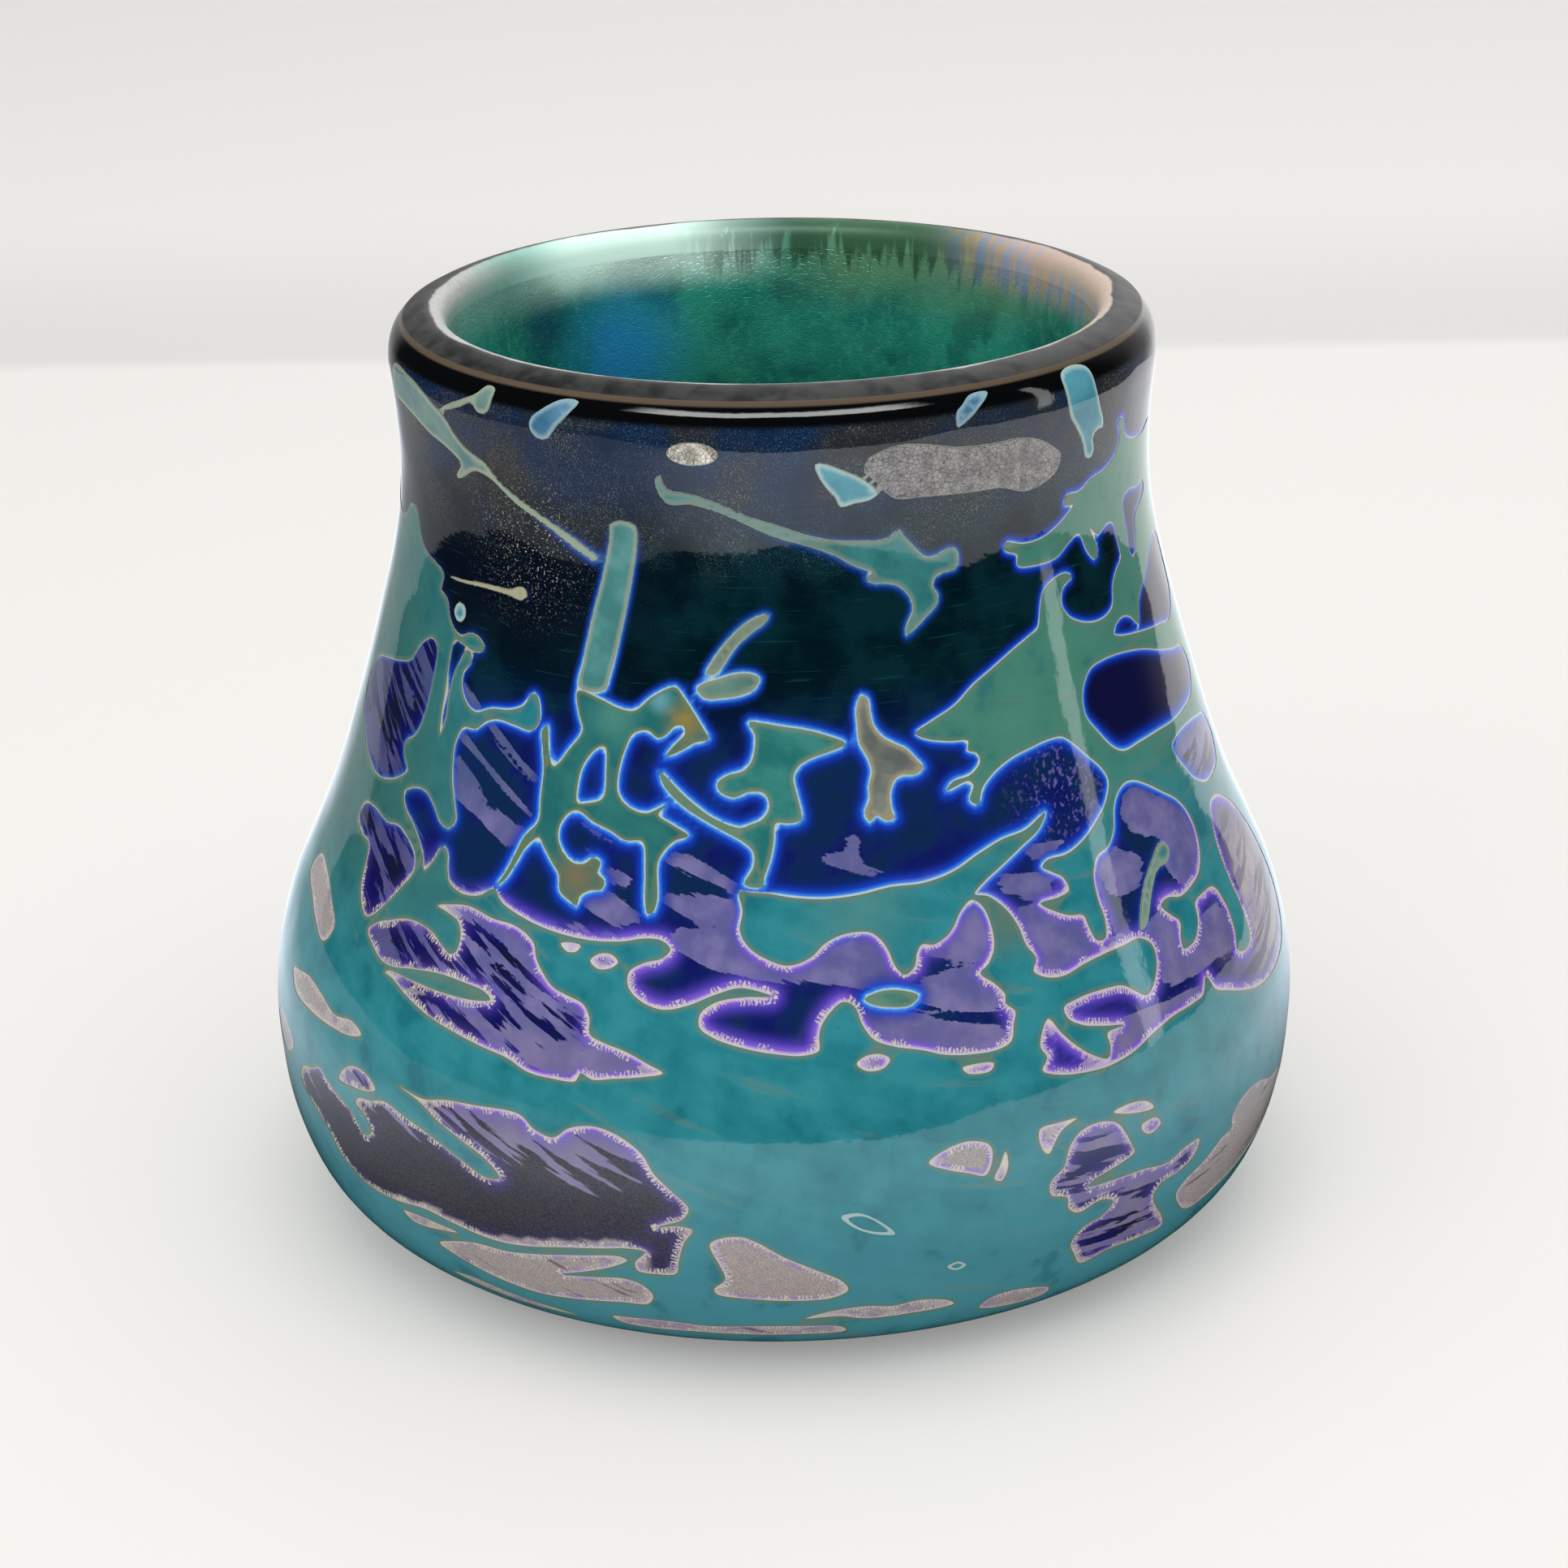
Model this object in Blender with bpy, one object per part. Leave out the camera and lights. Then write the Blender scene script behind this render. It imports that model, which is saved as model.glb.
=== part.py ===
"""Hand blown art glass vase: gathers, overlay, trails and silver leaf as separate closed solids.

Metres, +Z up, origin at the centre of the foot. The front of the vase faces -Y. An outline on the wall is a
list of (degrees round from the front, height in mm), and the layers sit at a depth in mm below the outside.
"""

import math

import bmesh
import bpy

MM = 0.001
SEGMENTS = 40  # flats round every layer, so that neighbours share them
GAP = 0.3  # stands for the fused boundary between two glasses
CASING = 2.4  # clear outer gather
OVERLAY = 0.5  # teal glass and leaf laid on the core
LINING = 0.8  # green glass of the inside
WALL = 7.2  # whole wall
LIP_R, LIP_Z, LIP_C = 3.5, 107.2, 41.2  # round of the lip: radius, height and radius of its centre

DECOR = CASING + GAP
CORE = DECOR + OVERLAY + GAP


def lip(degrees, radius=LIP_R):
    a = math.radians(degrees)
    return (LIP_C + radius * math.cos(a), LIP_Z + radius * math.sin(a))


# Outside of the vase from the foot to the lip, (radius, height).
OUTSIDE = [
    (42.0, 0.0), (47.5, 0.6), (52.0, 1.8), (55.8, 4.0), (59.1, 8.0), (61.6, 15.0), (62.4, 21.5), (62.5, 27.0),
    (61.7, 33.0), (60.0, 39.0), (57.4, 45.0), (54.7, 51.0), (52.5, 57.0), (50.6, 63.0), (48.8, 69.0),
    (47.1, 75.0), (45.5, 81.0), (44.3, 87.0), (43.9, 93.0), (44.2, 100.0), lip(0), lip(25), lip(50),
]


def inward(path, depth, first=None):
    """The path moved to its left by depth: towards the axis for a wall that is drawn upwards."""
    moved = []
    for i, (r, z) in enumerate(path):
        before, after = path[max(i - 1, 0)], path[min(i + 1, len(path) - 1)]
        dr, dz = after[0] - before[0], after[1] - before[1]
        size = math.hypot(dr, dz)
        left = first if first and i == 0 else (-dz / size, dr / size)
        moved.append((r + left[0] * depth, z + left[1] * depth))
    return moved


def layer(depth):
    return inward(OUTSIDE, depth, first=(0.0, 1.0))[:-1] + [lip(50, LIP_R - depth)]


# Hollow of the vase from the middle of its floor to the lip.
HOLLOW = [(0.0, 14.0), (22.0, 14.1), (36.0, 15.2), (45.0, 18.0), (50.8, 22.6), (53.8, 27.6)]
HOLLOW += layer(WALL)[8:20] + [lip(180), lip(150), lip(122)]


def material(name, color, roughness, alpha=1.0):
    made = bpy.data.materials.new(name)
    made.use_nodes = True
    shader = made.node_tree.nodes["Principled BSDF"]
    shader.inputs["Base Color"].default_value = (*color, 1.0)
    shader.inputs["Roughness"].default_value = roughness
    shader.inputs["Alpha"].default_value = alpha
    made.diffuse_color = (*color, alpha)
    return made


def finish(name, bm, mat):
    bmesh.ops.recalc_face_normals(bm, faces=bm.faces[:])
    mesh = bpy.data.meshes.new(name)
    bm.to_mesh(mesh)
    bm.free()
    mesh.materials.append(mat)
    bpy.context.scene.collection.objects.link(bpy.data.objects.new(name, mesh))


def turned(name, path, mat):
    """A closed section from axis to axis, or a closed ring section, turned round the axis."""
    bm = bmesh.new()
    rings = []
    for r, z in path:
        if r < 1e-6:
            rings.append([bm.verts.new((0.0, 0.0, z * MM))])
            continue
        ring = []
        for k in range(SEGMENTS):
            a = 2 * math.pi * k / SEGMENTS
            ring.append(bm.verts.new((r * math.sin(a) * MM, -r * math.cos(a) * MM, z * MM)))
        rings.append(ring)
    pairs = list(zip(rings, rings[1:]))
    if len(rings[0]) > 1:
        pairs.append((rings[-1], rings[0]))
    for low, high in pairs:
        for k in range(SEGMENTS):
            n = (k + 1) % SEGMENTS
            if len(low) == 1 and len(high) == 1:
                break
            if len(low) == 1:
                bm.faces.new((low[0], high[n], high[k]))
            elif len(high) == 1:
                bm.faces.new((low[k], low[n], high[0]))
            else:
                bm.faces.new((low[k], low[n], high[n], high[k]))
    finish(name, bm, mat)


def on_layer(degrees, height, path):
    """The point of a layer's flats below this place on the outside."""
    i = 0
    while i < len(OUTSIDE) - 2 and OUTSIDE[i + 1][1] < height:
        i += 1
    share = (height - OUTSIDE[i][1]) / (OUTSIDE[i + 1][1] - OUTSIDE[i][1])
    r = path[i][0] + share * (path[i + 1][0] - path[i][0])
    z = path[i][1] + share * (path[i + 1][1] - path[i][1])
    step = 360.0 / SEGMENTS
    within = math.radians((degrees % step) - step / 2)
    r *= math.cos(math.radians(step / 2)) / math.cos(within)
    a = math.radians(degrees)
    return (r * math.sin(a) * MM, -r * math.cos(a) * MM, z * MM)


def laid(name, outline, mat, holes=(), all_round=False):
    """A thin piece of glass laid on the core: its outline wrapped on the wall and thickened."""
    flat = bmesh.new()
    edges = []
    for loop in (outline, *holes):
        verts = [flat.verts.new((x, y, 0.0)) for x, y in loop]
        edges += [flat.edges.new(pair) for pair in zip(verts, verts[1:] + verts[:1])]
    bmesh.ops.triangle_fill(flat, edges=edges, use_beauty=True, normal=(0.0, 0.0, 1.0))
    step = 360.0 / SEGMENTS
    cuts = [((k * step, 0, 0), (1, 0, 0)) for k in range(-SEGMENTS // 2 + 1, SEGMENTS // 2)]
    cuts += [((0, z, 0), (0, 1, 0)) for _, z in OUTSIDE]
    for point, normal in cuts:
        everything = flat.verts[:] + flat.edges[:] + flat.faces[:]
        bmesh.ops.bisect_plane(flat, geom=everything, plane_co=point, plane_no=normal, dist=1e-4)
    flat.verts.index_update()
    sides = layer(DECOR), layer(DECOR + OVERLAY)
    bm = bmesh.new()
    top, under = ([bm.verts.new(on_layer(v.co.x, v.co.y, side)) for v in flat.verts] for side in sides)
    for face in flat.faces:
        bm.faces.new([top[v.index] for v in face.verts])
        bm.faces.new([under[v.index] for v in reversed(face.verts)])
    for edge in flat.edges:
        a, b = edge.verts
        at_seam = all_round and abs(a.co.x) > 179.9 and abs(b.co.x) > 179.9
        if len(edge.link_faces) == 1 and not at_seam:
            bm.faces.new((top[a.index], top[b.index], under[b.index], under[a.index]))
    flat.free()
    bmesh.ops.remove_doubles(bm, verts=bm.verts[:], dist=1e-7)
    finish(name, bm, mat)


def moved(outline, degrees, height=0.0):
    return [(x + degrees, y + height) for x, y in outline]


# Ragged upper edge of the teal overlay, once round from the back by the left side, the front and the right.
TEAR_BACK_LEFT = [
    (-180, 66), (-172, 70), (-166, 78), (-160, 80), (-156, 74), (-150, 64), (-143, 60), (-136, 66), (-131, 78),
    (-126, 84), (-120, 82), (-116, 74), (-112, 70), (-106, 74), (-101, 84), (-96, 90), (-90, 91), (-84, 88.5),
]
TEAR_LEFT = [
    (-75, 88.2), (-70, 90.2), (-66.3, 88), (-60, 85.8), (-57, 84.9), (-57.4, 83.3), (-54, 80.8), (-52.2, 76),
    (-51.8, 70.5), (-51.3, 68.2), (-50.6, 70), (-50.4, 75.5), (-49, 78), (-47.4, 77), (-48.6, 74.4), (-45, 72),
    (-38.5, 73.4), (-35.4, 75.6), (-33.9, 74.2), (-34.6, 71.8), (-40.5, 72), (-46.8, 69.9), (-47.8, 68),
    (-46.9, 63.6), (-45.1, 60), (-47.6, 59.2), (-51.6, 61.7), (-56.6, 60.4), (-53.2, 57.7), (-49.6, 54.8),
    (-48.8, 53.6), (-46.4, 56.8), (-44, 53.5), (-38.8, 53.2), (-36.7, 54.2), (-32, 52.2), (-23, 51.2),
    (-16, 52.1), (-13, 51.2), (-17.6, 48.6), (-16.2, 46), (-13.5, 45.2), (-7.8, 46.9), (-4.8, 47.7),
    (-1.4, 46.9), (-7.6, 46.2), (-9.2, 43.7), (-4.5, 41.8), (2, 41), (3.6, 42.6), (6.4, 46.1), (8.3, 43.8),
    (11.5, 41.3), (20, 39.4), (24.6, 40), (25.7, 42.8), (22.4, 47.2), (24.7, 49.6), (24.1, 53.8), (22.8, 54.7),
    (20, 52.2), (15.2, 50), (13.6, 48.2), (11.2, 52), (7, 52.8), (3, 50.6), (0.5, 49.9), (-4, 51.8),
    (-5, 53.4), (-5.1, 57.2), (-1.6, 57),
]
TEAR_RIGHT = [
    (5, 56.5), (13, 57.2), (21, 57.9), (28, 60.2), (34.9, 61.8), (30.5, 59), (23.3, 55.2), (27, 53), (28.7, 49),
    (28.9, 46.3), (32.5, 45), (38.5, 45.8), (44.6, 45.9), (46.2, 43.2), (43.2, 40.2), (40.2, 42.1), (33.5, 42.4),
    (31.8, 40.8), (38.8, 38.2), (36, 35.4), (32, 38), (29.4, 41.3), (27.6, 36.2), (32.5, 34.7), (39.5, 35),
    (46, 36.8), (53.4, 38.8), (60.5, 34.5), (70, 32.8), (78, 34), (82, 38), (83, 44), (80, 49), (72, 53.6),
    (66.6, 49.5), (65.6, 39), (61.5, 39), (62.7, 44), (58.5, 46.6), (55.6, 44.6), (51.2, 42.8), (51, 46.6),
    (51.5, 48.3), (57, 48), (61.6, 50.4), (61.8, 55), (57, 58.8), (51.5, 61.6), (47.4, 61), (45.5, 57.8),
    (41.6, 55.6), (40.1, 51.5), (39.6, 47.3), (38.3, 47.4), (37.4, 50.2), (31.8, 52.7), (36.2, 53.2), (33, 56.4),
    (37, 56.9), (42.8, 59.1), (46.6, 62.8), (42, 67.8), (38, 69.3), (31, 68.4), (26.2, 65.8), (25.2, 67.6),
    (26.5, 69.3), (25, 71.1), (18, 72.8), (24, 75.1), (30, 78), (39.2, 81.2), (41, 84.8), (47.2, 85.4),
    (44.2, 83), (47.4, 80.3), (53.6, 79.6), (58.8, 83.8), (60.8, 84.8), (59.6, 89), (54.6, 88.8), (52.6, 89.9),
    (53.4, 86.2), (49.8, 89.8), (44.6, 88.2), (36.6, 88.6), (34.4, 90.9), (42, 90.8), (48.6, 93.3), (50, 94.6),
    (57, 95.9), (61.2, 99.3), (61.6, 100.9), (63, 98.8), (72, 97), (78, 97.6),
]
TEAR_BACK_RIGHT = [
    (84, 96), (90, 93), (95, 88), (100, 80), (106, 74), (112, 76), (118, 86), (124, 90), (130, 86), (135, 76),
    (141, 68), (148, 66), (154, 72), (160, 80), (166, 82), (171, 74), (176, 68), (180, 66),
]
FOOT_EDGE = 1.8

# Windows in the overlay.
WINDOW_SIDE = [
    (-57.4, 77.8), (-55.3, 76), (-55.3, 71), (-56.8, 66.8), (-59, 65.4), (-56.8, 62.8), (-61, 60.6), (-69.5, 61),
    (-78, 65), (-76, 71), (-66, 73.2), (-60.6, 76.2),
]
WINDOW_STREAKED = [
    (-66.5, 56.4), (-59, 56.4), (-53.2, 56), (-50.8, 53.6), (-54, 48.6), (-57.2, 46.1), (-60.8, 48.8), (-62, 52.8),
    (-67.4, 54.4),
]
WINDOW_LONG = [
    (-45, 50.7), (-40, 51.8), (-33, 51.2), (-29.8, 49.8), (-28, 47.2), (-22.5, 44.8), (-21.3, 42), (-17, 40.7),
    (-12.8, 38.9), (-20.5, 37.4), (-28, 37), (-34, 38.4), (-42, 39.7), (-50.5, 42), (-41, 42.5), (-34, 43.3),
    (-38, 44.2), (-46, 43.6), (-51.5, 42.9), (-56, 45), (-50, 48), (-44.5, 47.9), (-40.3, 47), (-41, 49.8),
]
WINDOW_BROAD = [
    (-44.8, 30.9), (-38, 31.4), (-28.4, 32.2), (-24.4, 30.4), (-20, 32.4), (-14.8, 30), (-13.5, 27.8),
    (-10, 23.9), (-13.2, 21.3), (-9.7, 21.2), (-11.7, 15.2), (-15.8, 15.1), (-14.8, 17.8), (-19, 17.6),
    (-33, 15.3), (-42, 16.2), (-52, 15.2), (-60, 19.5), (-67, 22.6), (-60.5, 27), (-51, 22.4), (-52.4, 26),
    (-47, 28.2), (-40, 26.6), (-32.6, 23.6), (-30.8, 24), (-35.6, 27.3), (-41.4, 30),
]
WINDOW_BOAT = [
    (-41.2, 11.6), (-35, 14), (-27, 15.2), (-17.6, 17), (-18.5, 15.2), (-24.6, 12.7), (-17.5, 13.7), (-14.5, 11.6),
    (-18, 9.9), (-28, 8.6), (-37.5, 10.2),
]
WINDOW_HEART = [(-8, 19.5), (-4.8, 20.6), (3, 16), (6.1, 13), (1, 11.7), (-7.6, 12.6), (-7, 16.5)]
WINDOW_DROP = [(14.3, 28.4), (18.6, 30.2), (21.4, 28), (20.4, 25.6), (16.4, 27.2)]
WINDOW_CHAIN = [
    (30.2, 27), (34, 28.6), (37.4, 26.2), (38.8, 23.2), (32.6, 21), (44, 19.8), (49.6, 20.5), (46.4, 17.7),
    (42.4, 16), (45.8, 10.2), (33.4, 10), (31.2, 13.8), (36.2, 17.8), (31.6, 17.9), (28, 21.3), (29.4, 24.6),
]
WINDOW_TIP = [(46, 14.8), (56.4, 18.8), (60.6, 22), (72, 19), (78, 15), (64, 11.2), (50, 10.2)]

# Trails and shards.
BAR = [
    (-24, 95.3), (-22.3, 96), (-20, 95.5), (-20.8, 90), (-22.2, 84), (-24.1, 77.3), (-28.1, 77.3), (-26.6, 85),
    (-25, 90),
]
COMET = [
    (-16, 101.6), (-14.9, 99.9), (-8, 98.6), (0, 96.2), (8, 94.2), (15, 93.8), (17.6, 95), (19.5, 92.8),
    (22.5, 91.2), (25, 91.9), (26.5, 90.8), (24.5, 89.6), (22.2, 88.2), (22.8, 86.2), (18, 83.3), (19.3, 85.8),
    (17.5, 88.6), (12.6, 89.8), (11, 91.4), (4, 94), (-4, 96.4), (-12, 98.6), (-15, 98.5), (-16.7, 101),
]
PETAL = [(5.5, 103), (9, 102.2), (13.5, 100), (14, 99), (9, 98.1), (7.2, 100.2)]
HERON = [
    (-28.1, 76.8), (-24.3, 76.6), (-19.5, 75.6), (-14, 78.4), (-11.5, 76), (-9.3, 73.2), (-14.8, 71.2),
    (-12.6, 74), (-16, 73), (-19.5, 73.2), (-21.2, 68.5), (-19.5, 65.5), (-14.8, 65.6), (-11.5, 63), (-15, 60.8),
    (-15.5, 54.7), (-16.4, 55.6), (-17.2, 62), (-21.5, 62.8), (-26.2, 64.4), (-28.6, 62), (-27.5, 59.6),
    (-22.5, 59.3), (-21.8, 57.3), (-25, 54.6), (-27.8, 57.3), (-30.5, 60), (-35.8, 55.4), (-33.4, 60.5),
    (-31.7, 62.5), (-31.9, 68), (-32.9, 72), (-32.2, 72.6), (-30.6, 68.5), (-26.7, 73),
]
HERON_EYE = [(-23, 71.8), (-22.6, 67), (-26.8, 64.9), (-26.5, 69)]
TICK = [(-9.8, 80.3), (-7, 83.4), (-1.3, 86.3), (-5.5, 83), (-8.6, 80.4)]
LEAF = [(-11, 78.2), (-6, 80), (-2.6, 79.4), (-5, 77.8), (-10, 77.5)]
BIRD = [
    (-4, 75), (3, 74.2), (8.5, 72.5), (2.2, 70.3), (2.5, 64.8), (-0.5, 64.5), (-2.2, 58.2), (-4.4, 58.4),
    (-3.4, 61.5), (-5.2, 63.2), (-12.5, 66.5), (-15.5, 69.2), (-5, 64.3), (-1.4, 66.3), (-4, 67.8), (-8, 68.3),
    (-3.6, 71),
]
FIGURE = [
    (11, 77.3), (12.4, 74), (16.5, 71.3), (18.6, 69.2), (14.5, 68.2), (14.2, 64.3), (10.5, 65), (11.8, 69.3),
    (10.3, 73),
]
STREAK = [(-54, 85.3), (-41, 85.6), (-38.4, 85.5), (-38.2, 86.4), (-41, 86.1)]
LIP_TRAIL = [
    (-72, 106.2), (-62, 105.8), (-54.8, 103.8), (-46, 99.8), (-40, 96.9), (-30, 93.5), (-26.4, 91.9), (-26.8, 91),
    (-31, 93), (-40, 96.3), (-46, 98.6), (-51, 98.9), (-60, 101), (-72, 102.6),
]
LIP_DROP_LEFT = [(-36, 106), (-34.5, 104.3), (-31.5, 105.8), (-29, 108.4), (-33, 108.6)]
LIP_DROP_RIGHT = [(45.5, 108.4), (46.5, 104), (51, 98.5), (52.5, 98.3), (52.5, 100.5), (55, 101.2), (51.5, 108.4)]
LEAF_PATCH = [
    (12.4, 102.8), (18, 104.4), (26, 103.3), (36, 103), (43, 101), (45, 99.5), (42, 97.2), (38, 96.8), (30, 98),
    (17, 98.6), (14.6, 100.8),
]
LEAF_OVAL = [
    (-11.3 + 3.5 * math.cos(math.radians(a)), 104.2 + 1.2 * math.sin(math.radians(a))) for a in range(0, 360, 30)
]


def build():
    for obj in list(bpy.data.objects):
        bpy.data.objects.remove(obj, do_unlink=True)

    # Clear casing with a ground and polished hollow under the foot.
    inside_of_casing = layer(CASING)
    casing = [(0.0, 1.2), (10.0, 0.9), (16.0, 0.0)] + OUTSIDE
    casing += inside_of_casing[::-1] + [(0.0, CASING)]
    turned("casing", casing, material("clear_glass", (0.9, 0.96, 0.96), 0.03, 0.35))

    # Dark core: thick floor, wall, and the crown of the lip between casing and lining.
    core = [(0.0, CORE)] + layer(CORE)[:21]
    core += [(41.67, 108.23), lip(55), lip(72), lip(90), lip(105), (40.25, 109.3)]
    core += inward(HOLLOW, -(LINING + GAP), first=(0.0, 1.0))[::-1][1:]
    turned("core", core, material("dark_glass", (0.012, 0.02, 0.09), 0.08))

    # Green lustre lining, rolled over the inner edge of the lip.
    lining = HOLLOW + inward(HOLLOW, -LINING, first=(0.0, 1.0))[::-1]
    turned("lining", lining, material("green_lustre", (0.02, 0.22, 0.14), 0.2))

    teal = material("teal_glass", (0.025, 0.23, 0.27), 0.15)
    edge = TEAR_BACK_LEFT + TEAR_LEFT + TEAR_RIGHT + TEAR_BACK_RIGHT + [(180, FOOT_EDGE), (-180, FOOT_EDGE)]
    windows = [
        WINDOW_SIDE, WINDOW_STREAKED, WINDOW_LONG, WINDOW_BROAD, WINDOW_BOAT, WINDOW_HEART, WINDOW_DROP,
        WINDOW_CHAIN, WINDOW_TIP, moved(WINDOW_LONG, 182), moved(WINDOW_BROAD, 182),
        moved(WINDOW_CHAIN, -190), moved(WINDOW_HEART, 100), moved(WINDOW_STREAKED, -62),
    ]
    laid("overlay", edge, teal, windows, all_round=True)

    shards = {
        "trail_bar": BAR, "trail_comet": COMET, "trail_streak": STREAK, "trail_tick": TICK,
        "trail_lip_left": LIP_TRAIL, "drop_lip_left": LIP_DROP_LEFT, "drop_lip_right": LIP_DROP_RIGHT,
        "shard_petal": PETAL, "shard_leaf": LEAF, "shard_bird": BIRD, "shard_figure": FIGURE,
        "trail_bar_back": moved(BAR, 171), "trail_comet_back": moved(COMET, -178, -2),
    }
    for name, outline in shards.items():
        laid(name, outline, material(name + "_glass", (0.05, 0.26, 0.28), 0.15))
    laid("shard_heron", HERON, material("shard_heron_glass", (0.10, 0.24, 0.2), 0.15), [HERON_EYE])

    silver = material("silver_leaf", (0.55, 0.55, 0.52), 0.35)
    laid("silver_oval", LEAF_OVAL, silver)
    laid("silver_patch", LEAF_PATCH, material("silver_patch_leaf", (0.4, 0.39, 0.37), 0.4))


build()
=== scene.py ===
import math
import bpy
import numpy as np
from mathutils import Matrix, Vector


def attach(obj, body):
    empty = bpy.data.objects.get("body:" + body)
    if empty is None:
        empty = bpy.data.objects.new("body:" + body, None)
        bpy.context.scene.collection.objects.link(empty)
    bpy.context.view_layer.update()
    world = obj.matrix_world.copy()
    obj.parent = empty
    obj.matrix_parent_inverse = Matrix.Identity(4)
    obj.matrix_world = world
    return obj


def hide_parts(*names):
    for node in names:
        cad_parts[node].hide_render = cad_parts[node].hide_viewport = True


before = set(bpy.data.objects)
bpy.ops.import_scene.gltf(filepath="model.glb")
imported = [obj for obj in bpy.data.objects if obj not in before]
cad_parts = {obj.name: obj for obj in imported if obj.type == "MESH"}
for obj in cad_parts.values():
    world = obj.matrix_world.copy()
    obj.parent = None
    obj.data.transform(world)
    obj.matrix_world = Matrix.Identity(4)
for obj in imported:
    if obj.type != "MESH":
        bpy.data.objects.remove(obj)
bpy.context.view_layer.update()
mm = 0.001


def tint(red, green, blue):  # a colour as it looks on a screen, made linear
    return tuple((c / 255 / 12.92) if c < 11 else ((c / 255 + 0.055) / 1.055) ** 2.4 for c in (red, green, blue)) + (1.0,)


def deselect():
    if bpy.context.mode != "OBJECT":
        bpy.ops.object.mode_set(mode="OBJECT")
    bpy.ops.object.select_all(action="DESELECT")


def pick(obj):
    deselect()
    obj.select_set(True)
    bpy.context.view_layer.objects.active = obj


class Wire:  # one socket of a material, so that sums are written as sums
    def __init__(self, glaze, socket):
        self.glaze, self.socket = glaze, socket

    def maths(self, operation, *others, clamp=False):
        inputs = {i: value for i, value in enumerate((self, *others))}
        return self.glaze.make("Math", {"operation": operation, "use_clamp": clamp}, inputs)

    def __add__(self, other): return self.maths("ADD", other)
    def __radd__(self, other): return self.maths("ADD", other)
    def __sub__(self, other): return self.maths("SUBTRACT", other)
    def __rsub__(self, other): return self.glaze.make("Math", {"operation": "SUBTRACT"}, {0: other, 1: self})
    def __mul__(self, other): return self.maths("MULTIPLY", other)
    def __rmul__(self, other): return self.maths("MULTIPLY", other)
    def __truediv__(self, other): return self.maths("DIVIDE", other)
    def sine(self): return self.maths("SINE")
    def root(self): return self.maths("SQRT")


class Glaze:  # a material round one Principled shader, or the nodes of a world
    def __init__(self, name, settings=None, tree=None):
        self.tree = tree
        if tree:
            return
        self.material = bpy.data.materials.new(name)
        self.material.use_nodes = True
        self.tree = self.material.node_tree
        self.shader = self.tree.nodes["Principled BSDF"]
        for socket, value in (settings or {}).items():
            self.shader.inputs[socket].default_value = value

    def make(self, kind, settings=None, inputs=None, out=0):
        node = self.tree.nodes.new("ShaderNode" + kind)
        for key, value in (settings or {}).items():
            if key == "stops":
                ramp = node.color_ramp.elements
                while len(ramp) < len(value):
                    ramp.new(0.5)
                for element, (place, colour) in zip(ramp, value):
                    element.position, element.color = place, colour
            else:
                setattr(node, key, value)
        for key, value in (inputs or {}).items():
            if isinstance(value, Wire):
                self.tree.links.new(value.socket, node.inputs[key])
            else:
                node.inputs[key].default_value = value
        return Wire(self, node.outputs[out])

    def feed(self, socket, wire):
        self.tree.links.new(wire.socket, self.shader.inputs[socket])

    def mix(self, share, first, second):
        return self.make("Mix", {"data_type": "RGBA"}, {0: share, 6: first, 7: second}, out=2)

    def rise(self, wire, low, high):  # 0 at low to 1 at high, and the other way when low is the larger
        start, end = (0.0, 1.0) if low < high else (1.0, 0.0)
        return self.make("MapRange", {"interpolation_type": "SMOOTHSTEP"}, {0: wire, 1: min(low, high), 2: max(low, high), 3: start, 4: end})

    def place(self):  # Object coordinates in millimetres, whole and split
        where = self.make("TexCoord", out="Object")
        scaled = self.make("VectorMath", {"operation": "SCALE"}, {0: where, 3: 1000.0})
        split = self.tree.nodes.new("ShaderNodeSeparateXYZ")
        self.tree.links.new(scaled.socket, split.inputs[0])
        return scaled, *(Wire(self, split.outputs[i]) for i in range(3))

    def join(self, x, y, z):
        return self.make("CombineXYZ", None, {0: x, 1: y, 2: z})

    def noise(self, where, scale, detail=3.0, rough=0.55, twist=0.0):
        return self.make("TexNoise", None, {"Vector": where, "Scale": scale, "Detail": detail, "Roughness": rough, "Distortion": twist})

    def value(self, name):  # a number kept on the mesh
        return self.make("Attribute", {"attribute_name": name}, out="Fac")

    def near(self, where, point, reach):  # 1 at a point, 0 at its reach
        gap = self.make("VectorMath", {"operation": "DISTANCE"}, {0: where, 1: point}, out="Value")
        return self.rise(gap, reach, 0.0)

    def bump(self, height, strength, distance):
        lifted = self.make("Bump", None, {"Height": height, "Strength": strength, "Distance": distance * mm})
        self.feed("Normal", lifted)


# The form.
form = {
    "turns": 360,          # faces round the body
    "pitch": 0.6,          # mm between rings on the outside
    "lift": 0.06,          # mm that laid glass stands proud
    "laidDepth": 0.35,     # mm thickness of laid glass
    "grid": 0.8,           # mm and degrees between the cuts in laid glass
    "wideGrid": 1.1,       # the same for the overlay
}
outside = [
    (42.0, 0.0), (47.5, 0.6), (52.0, 1.8), (55.8, 4.0), (59.1, 8.0), (61.6, 15.0), (62.4, 21.5), (62.5, 27.0),
    (61.7, 33.0), (60.0, 39.0), (57.4, 45.0), (54.7, 51.0), (52.5, 57.0), (50.6, 63.0), (48.8, 69.0),
    (47.1, 75.0), (45.5, 81.0), (44.35, 87.0), (43.9, 93.0), (44.15, 99.0), (44.5, 102.6), (44.7, 105.2),
    (44.45, 107.1), (43.8, 108.5), (42.9, 109.5),
]
crown = [(41.5, 110.2), (40.2, 110.58), (39.2, 110.5), (38.4, 110.0), (37.9, 109.1), (37.75, 108.1), (37.7, 107.2)]
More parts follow.
